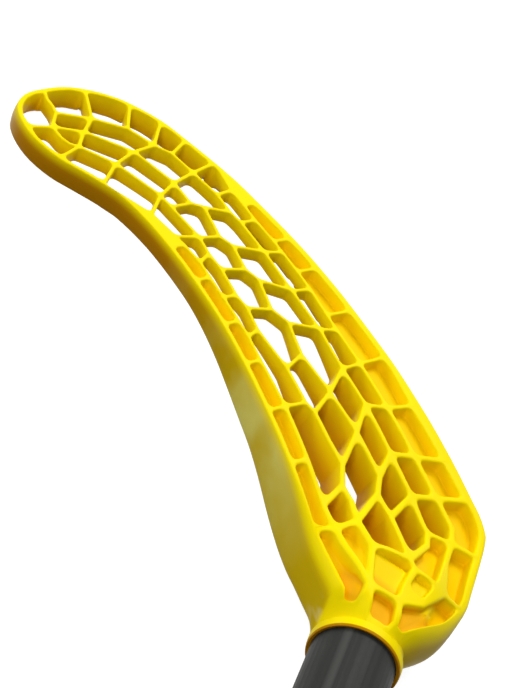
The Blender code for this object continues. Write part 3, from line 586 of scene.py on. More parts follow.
def inner_loop(points, extra=0.0):
    """The rounded edge of a cell, and for each of its points the point of the net beside it."""
    corners = cell_corners(points, extra)
    arcs = []
    for index, (corner, turn) in enumerate(corners):
        back = corners[index - 1][0] - corner
        ahead = corners[(index + 1) % len(corners)][0] - corner
        arcs.append(corner_arc(corner, turn, back, ahead, extra))
    edge = []
    partners = []
    for one, other, bend, after in zip(points, points[1:] + points[:1], arcs, arcs[1:] + arcs[:1]):
        edge += [tuple(point) for point in bend]
        middles = between(one, other)
        partners += [one] * len(bend) + middles
        for step, partner in enumerate(middles):
            t = (step + 1) / (len(middles) + 1)
            bulge = Vector(partner) - Vector(one).lerp(Vector(other), t)
            edge.append(tuple(bend[-1].lerp(after[0], t) + bulge))
    return edge, partners


print("points round the first cell:", len(inner_loop(clean_cell(open_cells()[0]))[0]))

# %% [markdown]
# ## The moulding
#
# A mould leaves soft edges on every rib and a fillet round every floor. Such rows of faces could be
# made with bevels, but they have to meet the neighbouring cells point for point. So the mesh is
# collected as points of the drawing, each with a kind that says how its height is found, and faces
# between them. At the end all heights are worked out in one go.

# %% The class that collects the moulding
FRONT, BACK, FLOOR, WEB, SHARE = range(5)
UNKNOWN = -1.0
KEY_DIGITS = 3
ROUND_STEPS = 3
QUARTER = [math.pi / 2 * step / ROUND_STEPS for step in range(ROUND_STEPS + 1)]
# Keeps the rows of a rounding apart where its slope starts or ends flat
ROW_STEP = 1e-3
FLOOR_RINGS = 5
TOE_RIB_ROUND = 0.55
HEEL_RIB_ROUND = 0.8
FLOOR_ROUND = 0.6
WALL_DRAFT = 0.12
WAIST = 0.5


def place_key(point):
    return round(point[0], KEY_DIGITS), round(point[1], KEY_DIGITS)


class Moulding:
    """Points of the drawing with a kind and an offset, and the faces between them."""

    def __init__(self, moved):
        self.moved = moved
        self.index = {}
        self.vertices = []
        self.faces = []

    def new_vertex(self, place, kind, offset, from_rim):
        """A vertex that nothing else shares. Returns its number."""
        self.vertices.append((tuple(place), kind, offset, from_rim))
        return len(self.vertices) - 1

    def vertex(self, point, kind, offset=0.0):
        """The vertex over a point of the net, made when it is first needed."""
        key = (*place_key(point), kind, round(offset, KEY_DIGITS))
        if key not in self.index:
            on_top = kind in (FRONT, BACK) and not offset
            place = self.moved.get(key[:2], point) if on_top else point
            self.index[key] = self.new_vertex(place, kind, offset, UNKNOWN)
        return self.index[key]

    def add(self, corners):
        corners = list(dict.fromkeys(corners))
        if len(corners) > 2:
            self.faces.append(corners)

    def band(self, upper, lower):
        """A closed strip of faces between two rows of vertices with the same count."""
        for index in range(len(upper)):
            after = (index + 1) % len(upper)
            self.add([upper[index], upper[after], lower[after], lower[index]])

    def row(self, upper, points, kind, offset=0.0):
        """A new row of vertices over the points, with a strip of faces to the row above it."""
        lower = [self.vertex(point, kind, offset) for point in points]
        self.band(upper, lower)
        return lower

    def rounded(self, points, kind, radius):
        """From the net to the wall: the flat top of the ribs and their rounded edge. Returns the last row."""
        row = [self.vertex(partner, kind) for partner in inner_loop(points, -radius)[1]]
        for step, angle in enumerate(QUARTER):
            edge, _ = inner_loop(points, -radius * (1 - math.sin(angle)))
            row = self.row(row, edge, kind, radius * (1 - math.cos(angle)) + step * ROW_STEP)
        return row

    def floor(self, points, row, kind):
        """The fillet at the foot of a pocket's wall, and the floor."""
        for step, angle in enumerate(QUARTER):
            edge, _ = inner_loop(points, WALL_DRAFT + FLOOR_ROUND * (1 - math.cos(angle)))
            rise = FLOOR_ROUND * (1 - math.sin(angle)) + (ROUND_STEPS - step) * ROW_STEP
            row = self.row(row, edge, kind, rise)
        centre = sum((Vector(point) for point in edge), Vector((0, 0))) / len(edge)
        for ring in range(1, FLOOR_RINGS):
            closer = [tuple(Vector(point).lerp(centre, ring / FLOOR_RINGS)) for point in edge]
            row = self.row(row, closer, kind)
        hub = self.vertex(tuple(centre), kind)
        for one, other in zip(row, row[1:] + row[:1]):
            self.add([one, other, hub])

    def cell(self, points, pocket):
        along = sum(point[0] for point in points) / len(points)
        radius = heel_to_toe(HEEL_RIB_ROUND, TOE_RIB_ROUND, along)
        top = self.rounded(points, FRONT, radius)
        bottom = self.rounded(points, BACK, radius)
        if pocket:
            self.floor(points, top, FLOOR)
            self.floor(points, bottom, WEB)
        else:
            self.band(self.row(top, inner_loop(points, WALL_DRAFT)[0], SHARE, WAIST), bottom)


print("a rounding leans by, degrees:", [round(math.degrees(angle)) for angle in QUARTER])

# %% [markdown]
# The real blade's outside is a slightly swollen wall with a rounded edge in front and behind, most
# swollen on the heel side of the neck. A bevelled curve along the rim would have one profile all
# along. A column of vertices at each point of the outline can follow the blade's own thickness.

# %% The outline's profile
RIM_BARREL = 0.5
NECK_BARREL = 3.1
NECK_BARREL_LENGTH = 56.0
TOE_RIM_ROUND = 0.5
HEEL_RIM_ROUND = 1.2


def full_ring(knots):
    """A closed ring of knots with all the points between them."""
    ring = []
    for one, other in zip(knots, knots[1:] + knots[:1]):
        ring += [one] + between(one, other)
    return ring


def rim_profile(chain):
    """For each point of the outline: its outward direction, its edge's radius and its swelling."""
    places = np.array(chain)
    run = np.roll(places, -1, axis=0) - np.roll(places, 1, axis=0)
    outward = np.stack([run[:, 1], -run[:, 0]], axis=1)
    outward /= np.linalg.norm(outward, axis=1)[:, None]
    into, aside = to_shaft(*from_mouth(places))
    on_rim = np.array([point in RIM_POINTS for point in chain])
    radius = heel_to_toe(HEEL_RIM_ROUND, TOE_RIM_ROUND, places[:, 0])
    radius = np.where(on_rim, radius * ease(into / MOUTH_BLEND), 0.0)
    heel_side = blend(NECK_BARREL, RIM_BARREL, into / NECK_BARREL_LENGTH)
    other_side = np.where(into > MOUTH_RIM, RIM_BARREL, 0.0)
    return outward, radius, np.where(on_rim & (aside < 0), heel_side, other_side)


OUTLINE = full_ring(SMOOTH_RIM + [MOUTH_BACK, MOUTH_FORK, MOUTH_HEEL])
OUTWARD, EDGE_ROUND, SWELL = rim_profile(OUTLINE)
print("outline points:", len(OUTLINE), "most swollen by, mm:", SWELL.max().round(2))

# %% The outer wall
WALL_STEPS = 8


def moved_rim():
    """Where the rim's top edge lies, in from the outline by the radius of its rounding."""
    moved = {}
    for point, out, radius in zip(OUTLINE, OUTWARD, EDGE_ROUND):
        moved[place_key(point)] = (point[0] - out[0] * radius, point[1] - out[1] * radius)
    return moved


def wall_column(moulding, point, out, radius, bulge, thickness):
    """The wall's vertices at one place of the outline, from the front edge to the back edge."""
    def place(inward, share):
        return Vector(point) + Vector(out) * (bulge * math.sin(math.pi * share) - inward)

    rounding = [(radius * (1 - math.sin(turn)), radius * (1 - math.cos(turn))) for turn in QUARTER[1:]]
    column = [moulding.vertex(point, FRONT)]
    for inward, depth in rounding:
        column.append(moulding.new_vertex(place(inward, depth / thickness), FRONT, depth, inward))
    edge = radius / thickness
    for step in range(1, WALL_STEPS):
        share = edge + (1 - 2 * edge) * step / WALL_STEPS
        column.append(moulding.new_vertex(place(0.0, share), SHARE, share, 0.0))
    for inward, depth in rounding[::-1]:
        column.append(moulding.new_vertex(place(inward, 1 - depth / thickness), BACK, depth, inward))
    return column + [moulding.vertex(point, BACK)]


def add_outline(moulding):
    front, back, _, _ = surface_heights(np.array(OUTLINE), np.zeros(len(OUTLINE)))
    profile = zip(OUTLINE, OUTWARD, EDGE_ROUND, SWELL, front - back)
    columns = [wall_column(moulding, *place) for place in profile]
    for one, other in zip(columns, columns[1:] + columns[:1]):
        for level in range(len(one) - 1):
            moulding.add([one[level], one[level + 1], other[level + 1], other[level]])


print("points of the top edge moved in:", len(moved_rim()))


# %% Build the moulding
def blade_moulding():
    moulding = Moulding(moved_rim())
    for points in open_cells():
        moulding.cell(clean_cell(points), pocket=False)
    for points in pocket_cells():
        moulding.cell(clean_cell(points), pocket=True)
    for points in solid_cells():
        ring = full_ring(clean_cell(points))
        for kind in (FRONT, BACK):
            moulding.add([moulding.vertex(point, kind) for point in ring])
    add_outline(moulding)
    return moulding


moulding = blade_moulding()
print("moulding:", len(moulding.vertices), "points,", len(moulding.faces), "faces")

# %% [markdown]
# Now the heights. Each vertex also carries what its colour and its painted shade go by: how deep it lies,
# whether it is on the outer wall, and how far along it is. The colours could be painted on an image, but
# numbers on the vertices stay right when the form changes. Floors by the mouth count as deep and get the
# painted shade of the deepest cells, because on the real blade they look as orange as those.

# %% Heights and traits of the moulding
# The outer wall's painted shade fades in over this depth below the front edge
WALL_SHADE_FADE = 4.0
# Floors by the mouth get painted shade as deep as this, fading out past this reach
MOUTH_SHADE_DEPTH = 9.0
MOUTH_SHADE_REACH = 15.0
MOUTH_SHADE_FADE = 7.0


def moulding_arrays(moulding):
    """Places of the moulding's vertices, and their traits: depth, outer wall, place along."""
    points, kinds, offsets, given = (np.array(column) for column in zip(*moulding.vertices))
    from_rim = np.where(given == UNKNOWN, rim_distance(points), given)
    front, back, floor, web = surface_heights(points, from_rim)
    room = np.where(given == UNKNOWN, np.minimum(offsets, (front - floor) / 2), offsets)
    heights = np.select(
        [kinds == FRONT, kinds == BACK, kinds == FLOOR, kinds == WEB],
        [front - room, back + offsets, floor + room, web - offsets],
        default=front + (back - front) * offsets,
    )
    depth = front - heights
    into, _ = to_shaft(*from_mouth(points))
    by_mouth = 1 - ease((into - MOUTH_SHADE_REACH) / MOUTH_SHADE_FADE)
    # Painted shade: floors by the mouth count as deep
    shade_depth = np.where(kinds == FLOOR, np.maximum(depth, MOUTH_SHADE_DEPTH * by_mouth), depth)
    # Painted shade: the outer wall turns to its darker colours below the front edge
    outer = np.where(given == UNKNOWN, 0.0, ease(depth / WALL_SHADE_FADE))
    return to_stick_frame(points, heights), {"depth": shade_depth, "outer": outer, "along": points[:, 0]}


places, traits = moulding_arrays(moulding)
print("stick frame box, mm:", places.min(axis=0).round(1), places.max(axis=0).round(1))

# %% [markdown]
# ## The socket
#
# The shaft goes into a round socket with a rolled lip, which ends inside the lattice. A cylinder with
# a bevel could stand for it. A profile turned about the shaft's axis gives the lip its flat ring and
# its nose in one curve. It is part of the blade's own mesh, because the real one is moulded with it.

# %% The socket's wall and lip
TURN_STEPS = 96
LIP_LENGTH = 3.5
LIP_RING = 14.5
LIP_SLOPE = 0.35
LIP_ROUND = 0.15
LIP_GAP = 0.1
NOSE_STEPS = 14
DOME_ARC = (80, 10)
DOME_STEPS = 8
HIDDEN_FROM = 1.0
HIDDEN_RADIUS = 14.0


def arc(centre, size, start, end, steps):
    """Points of an elliptical arc between two angles in degrees, both ends included."""
    angles = [math.radians(start + (end - start) * step / steps) for step in range(steps + 1)]
    return [(centre[0] + size[0] * math.cos(a), centre[1] + size[1] * math.sin(a)) for a in angles]


def socket_profile():
    """(along, radius) points from the bore over the lip's flat ring and its nose to the dome inside."""
    inside = SHAFT_DIAMETER / 2 + LIP_GAP
    profile = [(SOCKET_DEPTH, inside), (LIP_SLOPE + LIP_ROUND - LIP_LENGTH, inside)]
    profile += [(LIP_SLOPE - LIP_LENGTH, inside + LIP_ROUND), (LIP_ROUND - LIP_LENGTH, LIP_RING - LIP_ROUND)]
    profile += arc((0, LIP_RING), (LIP_LENGTH, SOCKET_RADIUS - LIP_RING), 180, 90, NOSE_STEPS)
    profile += [(HIDDEN_FROM, HIDDEN_RADIUS), (SOCKET_DEPTH, HIDDEN_RADIUS)]
    profile += arc((SOCKET_DEPTH, 0), (SOCKET_DOME, HIDDEN_RADIUS), *DOME_ARC, DOME_STEPS)
    return profile + [(SOCKET_DEPTH + SOCKET_DOME, 0)]


def turned(profile):
    """Vertices and faces turned round the X axis from (along, radius) points; the profile stays open."""
    verts = []
    rows = []
    for along, radius in profile:
        if radius == 0:
            rows.append([len(verts)] * TURN_STEPS)
            verts.append((along, 0, 0))
            continue
        rows.append(list(range(len(verts), len(verts) + TURN_STEPS)))
        angles = [2 * math.pi * step / TURN_STEPS for step in range(TURN_STEPS)]
        verts += [(along, radius * math.cos(a), radius * math.sin(a)) for a in angles]
    faces = []
    for one, other in zip(rows, rows[1:]):
        for step in range(TURN_STEPS):
            after = (step + 1) % TURN_STEPS
            corners = list(dict.fromkeys([one[step], one[after], other[after], other[step]]))
            if len(corners) > 2:
                faces.append(corners)
    return verts, faces


socket_verts, socket_faces = turned(socket_profile())
print("socket:", len(socket_verts), "points,", len(socket_faces), "faces")

# %% [markdown]
# Lattice and socket become one mesh object. Flat faces would show as facets. Smooth shading hides them, and
# edges sharper than a set angle stay crisp, as the real ones do. The lip's flat ring lies in shade, so its
# vertices carry the traits of the wall at the toe and get its painted shade.

# %% Make the blade
SMOOTH_BELOW = math.radians(40)
SHADED_RING_RADIUS = 14.85


def add_object(name, data):
    thing = bpy.data.objects.new(name, data)
    bpy.context.collection.objects.link(thing)
    return thing


def smooth_mesh(mesh, change, smooth_below):
    """Changes a mesh's form, then shades it smooth except at its sharp edges."""
    form = bmesh.new()
    form.from_mesh(mesh)
    change(form)
    form.to_mesh(mesh)
    form.free()
    mesh.shade_smooth()
    mesh.set_sharp_from_angle(angle=smooth_below)


def simple_faces(form):
    """Splits faces with many corners, and turns all faces outward."""
    bmesh.ops.triangulate(form, faces=[face for face in form.faces if len(face.verts) > 4])
    bmesh.ops.recalc_face_normals(form, faces=form.faces)


def mesh_object(name, verts, faces, attributes=None):
    """A mesh object in the world from points of the stick's frame in millimetres."""
    mesh = bpy.data.meshes.new(name)
    mesh.from_pydata([STICK @ (Vector(map(float, point)) * MM) for point in verts], [], faces)
    for key, values in (attributes or {}).items():
        layer = mesh.attributes.new(key, "FLOAT", "POINT")
        layer.data.foreach_set("value", [float(value) for value in values])
    smooth_mesh(mesh, simple_faces, SMOOTH_BELOW)
    return add_object(name, mesh)


def make_blade():
    verts = [tuple(place) for place in places] + socket_verts
    faces = moulding.faces + [[len(places) + corner for corner in face] for face in socket_faces]
    # Painted shade: the lip's flat ring takes the toe wall's dark colour
    on_ring = [float(vert[0] < 0 and math.hypot(*vert[1:]) < SHADED_RING_RADIUS) for vert in socket_verts]
    socket_traits = {"depth": [0.0] * len(socket_verts), "outer": on_ring}
    socket_traits["along"] = [TOE_RIM_START] * len(socket_verts)
    attributes = {name: [*values, *socket_traits[name]] for name, values in traits.items()}
    blade = mesh_object("blade_moulding", verts, faces, attributes)
    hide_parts("blade")
    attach(blade, "root")
    return blade


blade = make_blade()
print("blade triangles:", sum(len(face.vertices) - 2 for face in blade.data.polygons))

# %% [markdown]
# ## Node trees from code
#
# Finishes and the grip's winding are node trees. They could be wired by hand in the editor, and in
# code each node and link would be a line. A small class makes it read like a formula: a sign between
# two outputs, or between an output and a number, adds a Math node.


# %% Short calls for nodes
class Value:
    """An output of a node, which can be reckoned with."""

    def __init__(self, nodes, socket):
        self.nodes = nodes
        self.socket = socket

    def math(self, operation, *others):
        return self.nodes.math(operation, self, *others)

    def __rsub__(self, other):
        return self.nodes.math("SUBTRACT", other, self)

    __add__ = partialmethod(math, "ADD")
    __sub__ = partialmethod(math, "SUBTRACT")
    __mul__ = partialmethod(math, "MULTIPLY")
    __truediv__ = partialmethod(math, "DIVIDE")
    __pow__ = partialmethod(math, "POWER")
    __abs__ = partialmethod(math, "ABSOLUTE")


class Nodes:
    """Short calls for building a node tree."""

    def __init__(self, tree):
        self.tree = tree

    def feed(self, socket, value):
        """Links a socket to an output, or sets it to a number, a colour or a word."""
        if isinstance(value, Value):
            self.tree.links.new(value.socket, socket)
        elif socket.type == "RGBA":
            socket.default_value = (*value, 1.0)
        else:
            socket.default_value = value

    def add(self, kind, inputs=None, **settings):
        """A new node with its settings, and its inputs by name or number."""
        node = self.tree.nodes.new(kind)
        for key, value in settings.items():
            setattr(node, key, value)
        for key, value in (inputs or {}).items():
            self.feed(node.inputs[key], value)
        return node

    def value(self, kind, inputs=None, output=0, **settings):
        """One output of a new node."""
        return Value(self, self.add(kind, inputs, **settings).outputs[output])

    def math(self, operation, *values):
        return self.value("ShaderNodeMath", dict(enumerate(values)), operation=operation)

    def outputs(self, kind, inputs=None):
        """All outputs of a new node by name, such as what a group is given, or X, Y and Z."""
        return {socket.name: Value(self, socket) for socket in self.add(kind, inputs).outputs}


def new_group(name, kind, inputs, outputs):
    """A node group with these sockets, each a name and a type, and its short calls."""
    tree = bpy.data.node_groups.new(name, kind)
    for in_out, sockets in (("INPUT", inputs), ("OUTPUT", outputs)):
        for label, socket_type in sockets.items():
            tree.interface.new_socket(label, in_out=in_out, socket_type="NodeSocket" + socket_type)
    return tree, Nodes(tree)


# %% [markdown]
# Moulded plastic, rubber and satin fibre all have a fine grain: tiny swings in how they shine, and a
# slight relief. Each material could have its own noise. One node group does it for all, with its
# scale and its swing as inputs, so that a change of the grain is made in one place.

# %% Fine grain for every material
BROAD_GRAIN = 0.08


def object_place(nodes):
    """The object's own coordinates, here the same as the world's metres."""
    return nodes.value("ShaderNodeTexCoord", output="Object")


def noise(where, scale, detail=2.0):
    inputs = {"Vector": where, "Scale": scale, "Detail": detail}
    return where.nodes.value("ShaderNodeTexNoise", inputs, "Fac")


def grain_group():
    given = {"Scale": "Float", "Roughness": "Float", "Variation": "Float"}
    tree, nodes = new_group("fine_grain", "ShaderNodeTree", given, {"Roughness": "Float", "Height": "Float"})
    given = nodes.outputs("NodeGroupInput")
    where = object_place(nodes)
    fine = noise(where, given["Scale"])
    swing = noise(where, given["Scale"] * BROAD_GRAIN, 3.0) + fine - 1.0
    roughness = swing.math("MULTIPLY_ADD", given["Variation"], given["Roughness"])
    nodes.add("NodeGroupOutput", {"Roughness": roughness, "Height": fine})
    return tree


GRAIN = grain_group()
print("grain group:", len(GRAIN.nodes), "nodes")


# %% A material and its finish
GRAIN_BY_HOLES = 0.3


def new_material(name, roughness, specular, metallic=0.0):
    """A material, the short calls for its tree, and the inputs of its shader."""
    material = bpy.data.materials.new(name)
    material.use_nodes = True
    inputs = material.node_tree.nodes["Principled BSDF"].inputs
    inputs["Roughness"].default_value = roughness
    inputs["Specular IOR Level"].default_value = specular
    inputs["Metallic"].default_value = metallic
    return material, Nodes(material.node_tree), inputs


def add_finish(nodes, inputs, colour, scale, variation, strength, distance, holes=None):
    """Feeds the shader its colour and the grain. Holes, where there are any, are sunk into the grain."""
    grain_inputs = {"Scale": scale, "Roughness": inputs["Roughness"].default_value, "Variation": variation}
    grain = nodes.add("ShaderNodeGroup", grain_inputs, node_tree=GRAIN)
    height = Value(nodes, grain.outputs["Height"])
    if holes is not None:
        height = height * GRAIN_BY_HOLES - holes
    bump = nodes.value("ShaderNodeBump", {"Strength": strength, "Distance": distance, "Height": height})
    nodes.feed(inputs["Base Color"], colour)
    nodes.feed(inputs["Roughness"], Value(nodes, grain.outputs["Roughness"]))
    nodes.feed(inputs["Normal"], bump)


# %% [markdown]
# ## The blade's plastic
#
# The plastic is clear yellow. Deep in the cells light passes through it from wall to wall and turns it
# orange. Subsurface scattering could do that, slowly. Here a mix of two yellows by depth paints that shade
# in, which is quick and looks much the same. The outer wall gets painted shade: duller yellow, brownish by
# the toe, olive in the middle with patches of painted sheen, painted highlight streaks beside the mouth and a
# pale painted highlight at the very toe.

# %% The blade's plastic
YELLOW = (0.93, 0.74, 0.0)
# Painted shade deep in the cells
DEEP_SHADE_YELLOW = (0.84, 0.42, 0.0)
# Painted shade of the outer wall, brown by the toe where it faces away from the light
SHADED_TOE_WALL = (0.47, 0.20, 0.0)
SHADED_WALL_YELLOW = (0.58, 0.40, 0.0)
# Painted sheen in patches on the middle of the outer wall
SHEEN_YELLOW = (0.68, 0.60, 0.12)
# Painted highlights beside the mouth and at the very toe
HIGHLIGHT_PALE = (0.80, 0.74, 0.34)
# The wall's zones fade in between two places along the drawing, in millimetres; the mouth's fades out
TOE_ZONE = (110.0, 165.0)
MIDDLE_ZONE = (45.0, 80.0)
MOUTH_ZONE = (20.0, 34.0)
# A pale painted highlight at the very toe
TOE_HIGHLIGHT_ZONE = (234.0, 246.0)
TOE_HIGHLIGHT = 0.45
# The painted highlight streaks keep to one side of the neck, in the world's metres
NECK_SIDE = (-0.082, -0.076)
# Depths in millimetres between which painted shade turns the yellow deep orange
DEPTH_SHADE = (0.5, 9.0)
PATCH_SCALE = 30.0
PATCH_EDGES = (0.36, 0.56)
STREAK_SCALES = (25.0, 320.0, 320.0)
STREAK_EDGES = (0.5, 0.72)


def attribute(nodes, name, output="Fac"):
    return nodes.value("ShaderNodeAttribute", output=output, attribute_name=name)


def ramp(value, edges):
    """0 below the first edge, 1 above the second, straight between."""
    low, high = edges
    inputs = {"Value": value, "From Min": low, "From Max": high}
    return value.nodes.value("ShaderNodeMapRange", inputs, "Result")


def colour_mix(factor, one, other):
    """From one colour to the other. A Mix node's inputs 6 and 7 and its output 2 are its colours."""
    return factor.nodes.value("ShaderNodeMix", {0: factor, 6: one, 7: other}, 2, data_type="RGBA")


def fibre_noise(nodes, scales, detail=1.0):
    """Noise with other scales along X, Y and Z, so that it runs in streaks."""
    where = nodes.value("ShaderNodeMapping", {"Scale": scales, "Vector": object_place(nodes)})
    return noise(where, 1.0, detail)


def painted_wall_light(nodes, where):
    along = attribute(nodes, "along")
    near_toe = ramp(along, TOE_ZONE)
    in_middle = ramp(along, MIDDLE_ZONE) * (1.0 - near_toe)
    # Painted sheen: pale patches on the middle of the wall
    sheen_patches = ramp(noise(where, PATCH_SCALE, 3.0), PATCH_EDGES)
    # Painted shade: the wall darkens to brown towards the toe
    colour = colour_mix(near_toe, SHADED_WALL_YELLOW, SHADED_TOE_WALL)
    colour = colour_mix(sheen_patches * in_middle, colour, SHEEN_YELLOW)
    neck_side = ramp(nodes.outputs("ShaderNodeSeparateXYZ", {0: where})["Y"], NECK_SIDE)
    # Painted highlight streaks on the neck beside the mouth
    highlight_streaks = ramp(fibre_noise(nodes, STREAK_SCALES), STREAK_EDGES)
    highlight_streaks = highlight_streaks * (1.0 - ramp(along, MOUTH_ZONE)) * neck_side
    # Painted highlight: the very toe's wall turns pale in patches
    toe_highlight = ramp(along, TOE_HIGHLIGHT_ZONE) * (sheen_patches * TOE_HIGHLIGHT)
    return colour_mix(highlight_streaks + toe_highlight, colour, HIGHLIGHT_PALE)


def blade_material():
    material, nodes, inputs = new_material("blade_yellow", 0.42, specular=0.03)
    # Painted shade: the yellow turns orange with depth, in place of light passing from wall to wall
    face = colour_mix(ramp(attribute(nodes, "depth"), DEPTH_SHADE), YELLOW, DEEP_SHADE_YELLOW)
    # The outer wall takes its painted shade and highlights
    colour = colour_mix(attribute(nodes, "outer"), face, painted_wall_light(nodes, object_place(nodes)))
    add_finish(nodes, inputs, colour, scale=700.0, variation=0.12, strength=0.10, distance=0.0003)
    return material


blade.data.materials.append(blade_material())
print("blade's plastic:", len(blade.active_material.node_tree.nodes), "nodes")

# %% [markdown]
# ## The grip
#
# The upper shaft is wrapped in a soft strip, each turn lapping over the last. A twisted texture on a
# sleeve would look flat at the edge. Geometry Nodes can lay a flat grid along a screw line instead:
# one way of the grid runs round the shaft, the other across the strip. The number of turns stays an
# input, and the grid's own coordinates are kept as an attribute for the skin.

# %% Nodes that wind the strip
EDGE_POWER = 10.0
EDGE_FALL = 0.55
LOWER_EDGE = 0.7


def grip_nodes():
    """Wraps a grid as a wound strip. Its X runs along the strip and its Y across, both from 0 to 1."""
    sizes = {"Turns": "Float", "Length": "Float", "Radius": "Float", "Thickness": "Float"}
    inputs = {"Geometry": "Geometry", **sizes, "Material": "Material"}
    tree, nodes = new_group("wound_grip", "GeometryNodeTree", inputs, {"Geometry": "Geometry"})
    tree.is_modifier = True
    given = nodes.outputs("NodeGroupInput")
    place = nodes.outputs("ShaderNodeSeparateXYZ", {0: nodes.value("GeometryNodeInputPosition")})
    turn = place["X"] * given["Turns"]
    across = place["Y"]
    pitch = given["Length"] / (given["Turns"] - 1.0)
    along = (turn + across - 1.0) * pitch
    along = along.math("MINIMUM", given["Length"]).math("MAXIMUM", 0.0)
    crown = 1.0 - abs(across * 2.0 - 1.0) ** EDGE_POWER * EDGE_FALL
    slant = across.math("MULTIPLY_ADD", 1.0 - LOWER_EDGE, LOWER_EDGE)
    radius = given["Radius"] + crown * slant * given["Thickness"]
    angle = turn * (2 * math.pi)
    wound = {0: along, 1: radius * angle.math("COSINE"), 2: radius * angle.math("SINE")}
    strip = {
        "Geometry": given["Geometry"],
        "Name": "strip",
        "Value": nodes.value("ShaderNodeCombineXYZ", {0: turn, 1: across}),
    }
    kept = nodes.value("GeometryNodeStoreNamedAttribute", strip, data_type="FLOAT_VECTOR", domain="POINT")
    place = nodes.value("ShaderNodeCombineXYZ", wound)
    wrapped = nodes.value("GeometryNodeSetPosition", {"Geometry": kept, "Position": place})
    real = nodes.value("GeometryNodeRealizeInstances", {0: wrapped})
    painted = {"Geometry": real, "Material": given["Material"]}
    nodes.add("NodeGroupOutput", {0: nodes.value("GeometryNodeSetMaterial", painted)})
    return tree


WINDING = grip_nodes()
print("winding:", len(WINDING.nodes), "nodes")

# %% [markdown]
# The strip's skin is matt and punched with rows of small holes. Modelled holes would cost thousands of faces
# each row. In the material each hole is a dot of painted shade with a dip in the bump, and the dots follow
# the strip, because they go by its own coordinates.

# %% The grip's skin
SKIN = (0.030, 0.030, 0.032)
# Painted shade inside each hole
HOLE_SHADE = (0.006, 0.006, 0.006)
HOLES_A_TURN = 24.0
HOLE_ROWS = 5.0
HOLE_EDGE = (0.13, 0.2)
PLAIN_EDGE = (0.36, 0.4)


def grip_material():
    material, nodes, inputs = new_material("grip_skin", 0.62, specular=0.2)
    strip = nodes.outputs("ShaderNodeSeparateXYZ", {0: attribute(nodes, "strip", "Vector")})
    along = (strip["X"] * HOLES_A_TURN).math("FRACT") - 0.5
    across = (strip["Y"] * HOLE_ROWS).math("FRACT") - 0.5
    away = (along ** 2.0 + across ** 2.0).math("SQRT")
    holes = (1.0 - ramp(away, HOLE_EDGE)) * (1.0 - ramp(abs(strip["Y"] - 0.5), PLAIN_EDGE))
    # Painted shade: each hole is a dark dot
    colour = colour_mix(holes, SKIN, HOLE_SHADE)
    add_finish(nodes, inputs, colour, 1500.0, variation=0.12, strength=0.35, distance=0.0005, holes=holes)
    return material


skin = grip_material()
print("grip's skin:", len(skin.node_tree.nodes), "nodes")

# %% [markdown]
# Under the strip lies a thin sleeve, which closes the grip's two ends with a rolled edge. It is
# turned like the socket. The strip's source is a flat grid, and what the modifier makes of it is
# copied as a plain mesh, so that the piece needs no modifier any more.

# %% Make the grip
GRIP_LENGTH = 340.0
GRIP_THICKNESS = 1.8
SHAFT_LENGTH = 960.0
GRIP_TURNS = 16
GRIP_ROUND_STEPS = 60
GRIP_ACROSS = 12
GRIP_CORE_GAP = 0.75
CORE_LAP = 0.25
CORE_ROLL = 0.3
BUTT = SOCKET_DEPTH - FIT_GAP - SHAFT_LENGTH


def make_grip_core():
    outer = BORE_RADIUS + GRIP_CORE_GAP + CORE_LAP
    end = BUTT + GRIP_LENGTH
    rolled = [(BUTT, outer - CORE_ROLL), (BUTT + CORE_ROLL, outer), (end - CORE_ROLL, outer)]
    rolled.append((end, outer - CORE_ROLL))
    profile = [(BUTT, BORE_RADIUS), *rolled, (end, BORE_RADIUS), (BUTT, BORE_RADIUS)]
    core = mesh_object("grip_core", *turned(profile))
    core.data.materials.append(skin)
    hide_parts("grip_band")
    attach(core, "root")
    return core


def flat_grid(along_steps, across_steps):
    """A grid from 0 to 1 both ways, for the nodes to wrap."""
    wide = across_steps + 1
    verts = [(x / along_steps, y / across_steps, 0) for x in range(along_steps + 1) for y in range(wide)]
    corners = [x * wide + y for x in range(along_steps) for y in range(across_steps)]
    mesh = bpy.data.meshes.new("strip_grid")
    mesh.from_pydata(verts, [], [(at, at + wide, at + wide + 1, at + 1) for at in corners])
    return mesh


def plain_copy(thing, name):
    """The evaluated mesh of an object as a plain mesh object; the object itself is removed."""
    bpy.context.view_layer.update()
    graph = bpy.context.evaluated_depsgraph_get()
    mesh = bpy.data.meshes.new_from_object(thing.evaluated_get(graph))
    bpy.data.objects.remove(thing)
    return add_object(name, mesh)


def make_grip():
    source = add_object("strip_source", flat_grid(GRIP_TURNS * GRIP_ROUND_STEPS, GRIP_ACROSS))
    modifier = source.modifiers.new("wound_grip", "NODES")
    modifier.node_group = WINDING
    values = {"Turns": float(GRIP_TURNS), "Length": GRIP_LENGTH, "Radius": BORE_RADIUS + GRIP_CORE_GAP}
    values.update({"Thickness": GRIP_THICKNESS - GRIP_CORE_GAP, "Material": skin})
    for item in WINDING.interface.items_tree:
        if item.in_out == "INPUT" and item.name in values:
            modifier[item.identifier] = values[item.name]
    strip = plain_copy(source, "grip_strip")
    strip.data.transform(STICK @ Matrix.Scale(MM, 4) @ Matrix.Translation((BUTT, 0, 0)))
    strip.data.shade_smooth()
    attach(strip, "root")
    return strip


core = make_grip_core()
strip = make_grip()
print("grip: a turn each", round(GRIP_LENGTH / (GRIP_TURNS - 1), 1), "mm,", len(strip.data.polygons), "faces")

# %% [markdown]
# ## The shaft, the cap, the tape and the screws
#
# Their packed forms are right, but their faces don't share points, so they shade flat. So each is copied, its
# doubled points are joined, and it is shaded smooth except at its sharp edges; the packed piece is hidden.
# The packed pieces may not be changed. The shaft is satin grey with pale fibres along it, which a noise shows
# when it is stretched along the shaft. Cap, tape and screws mix two close shades in a soft noise.

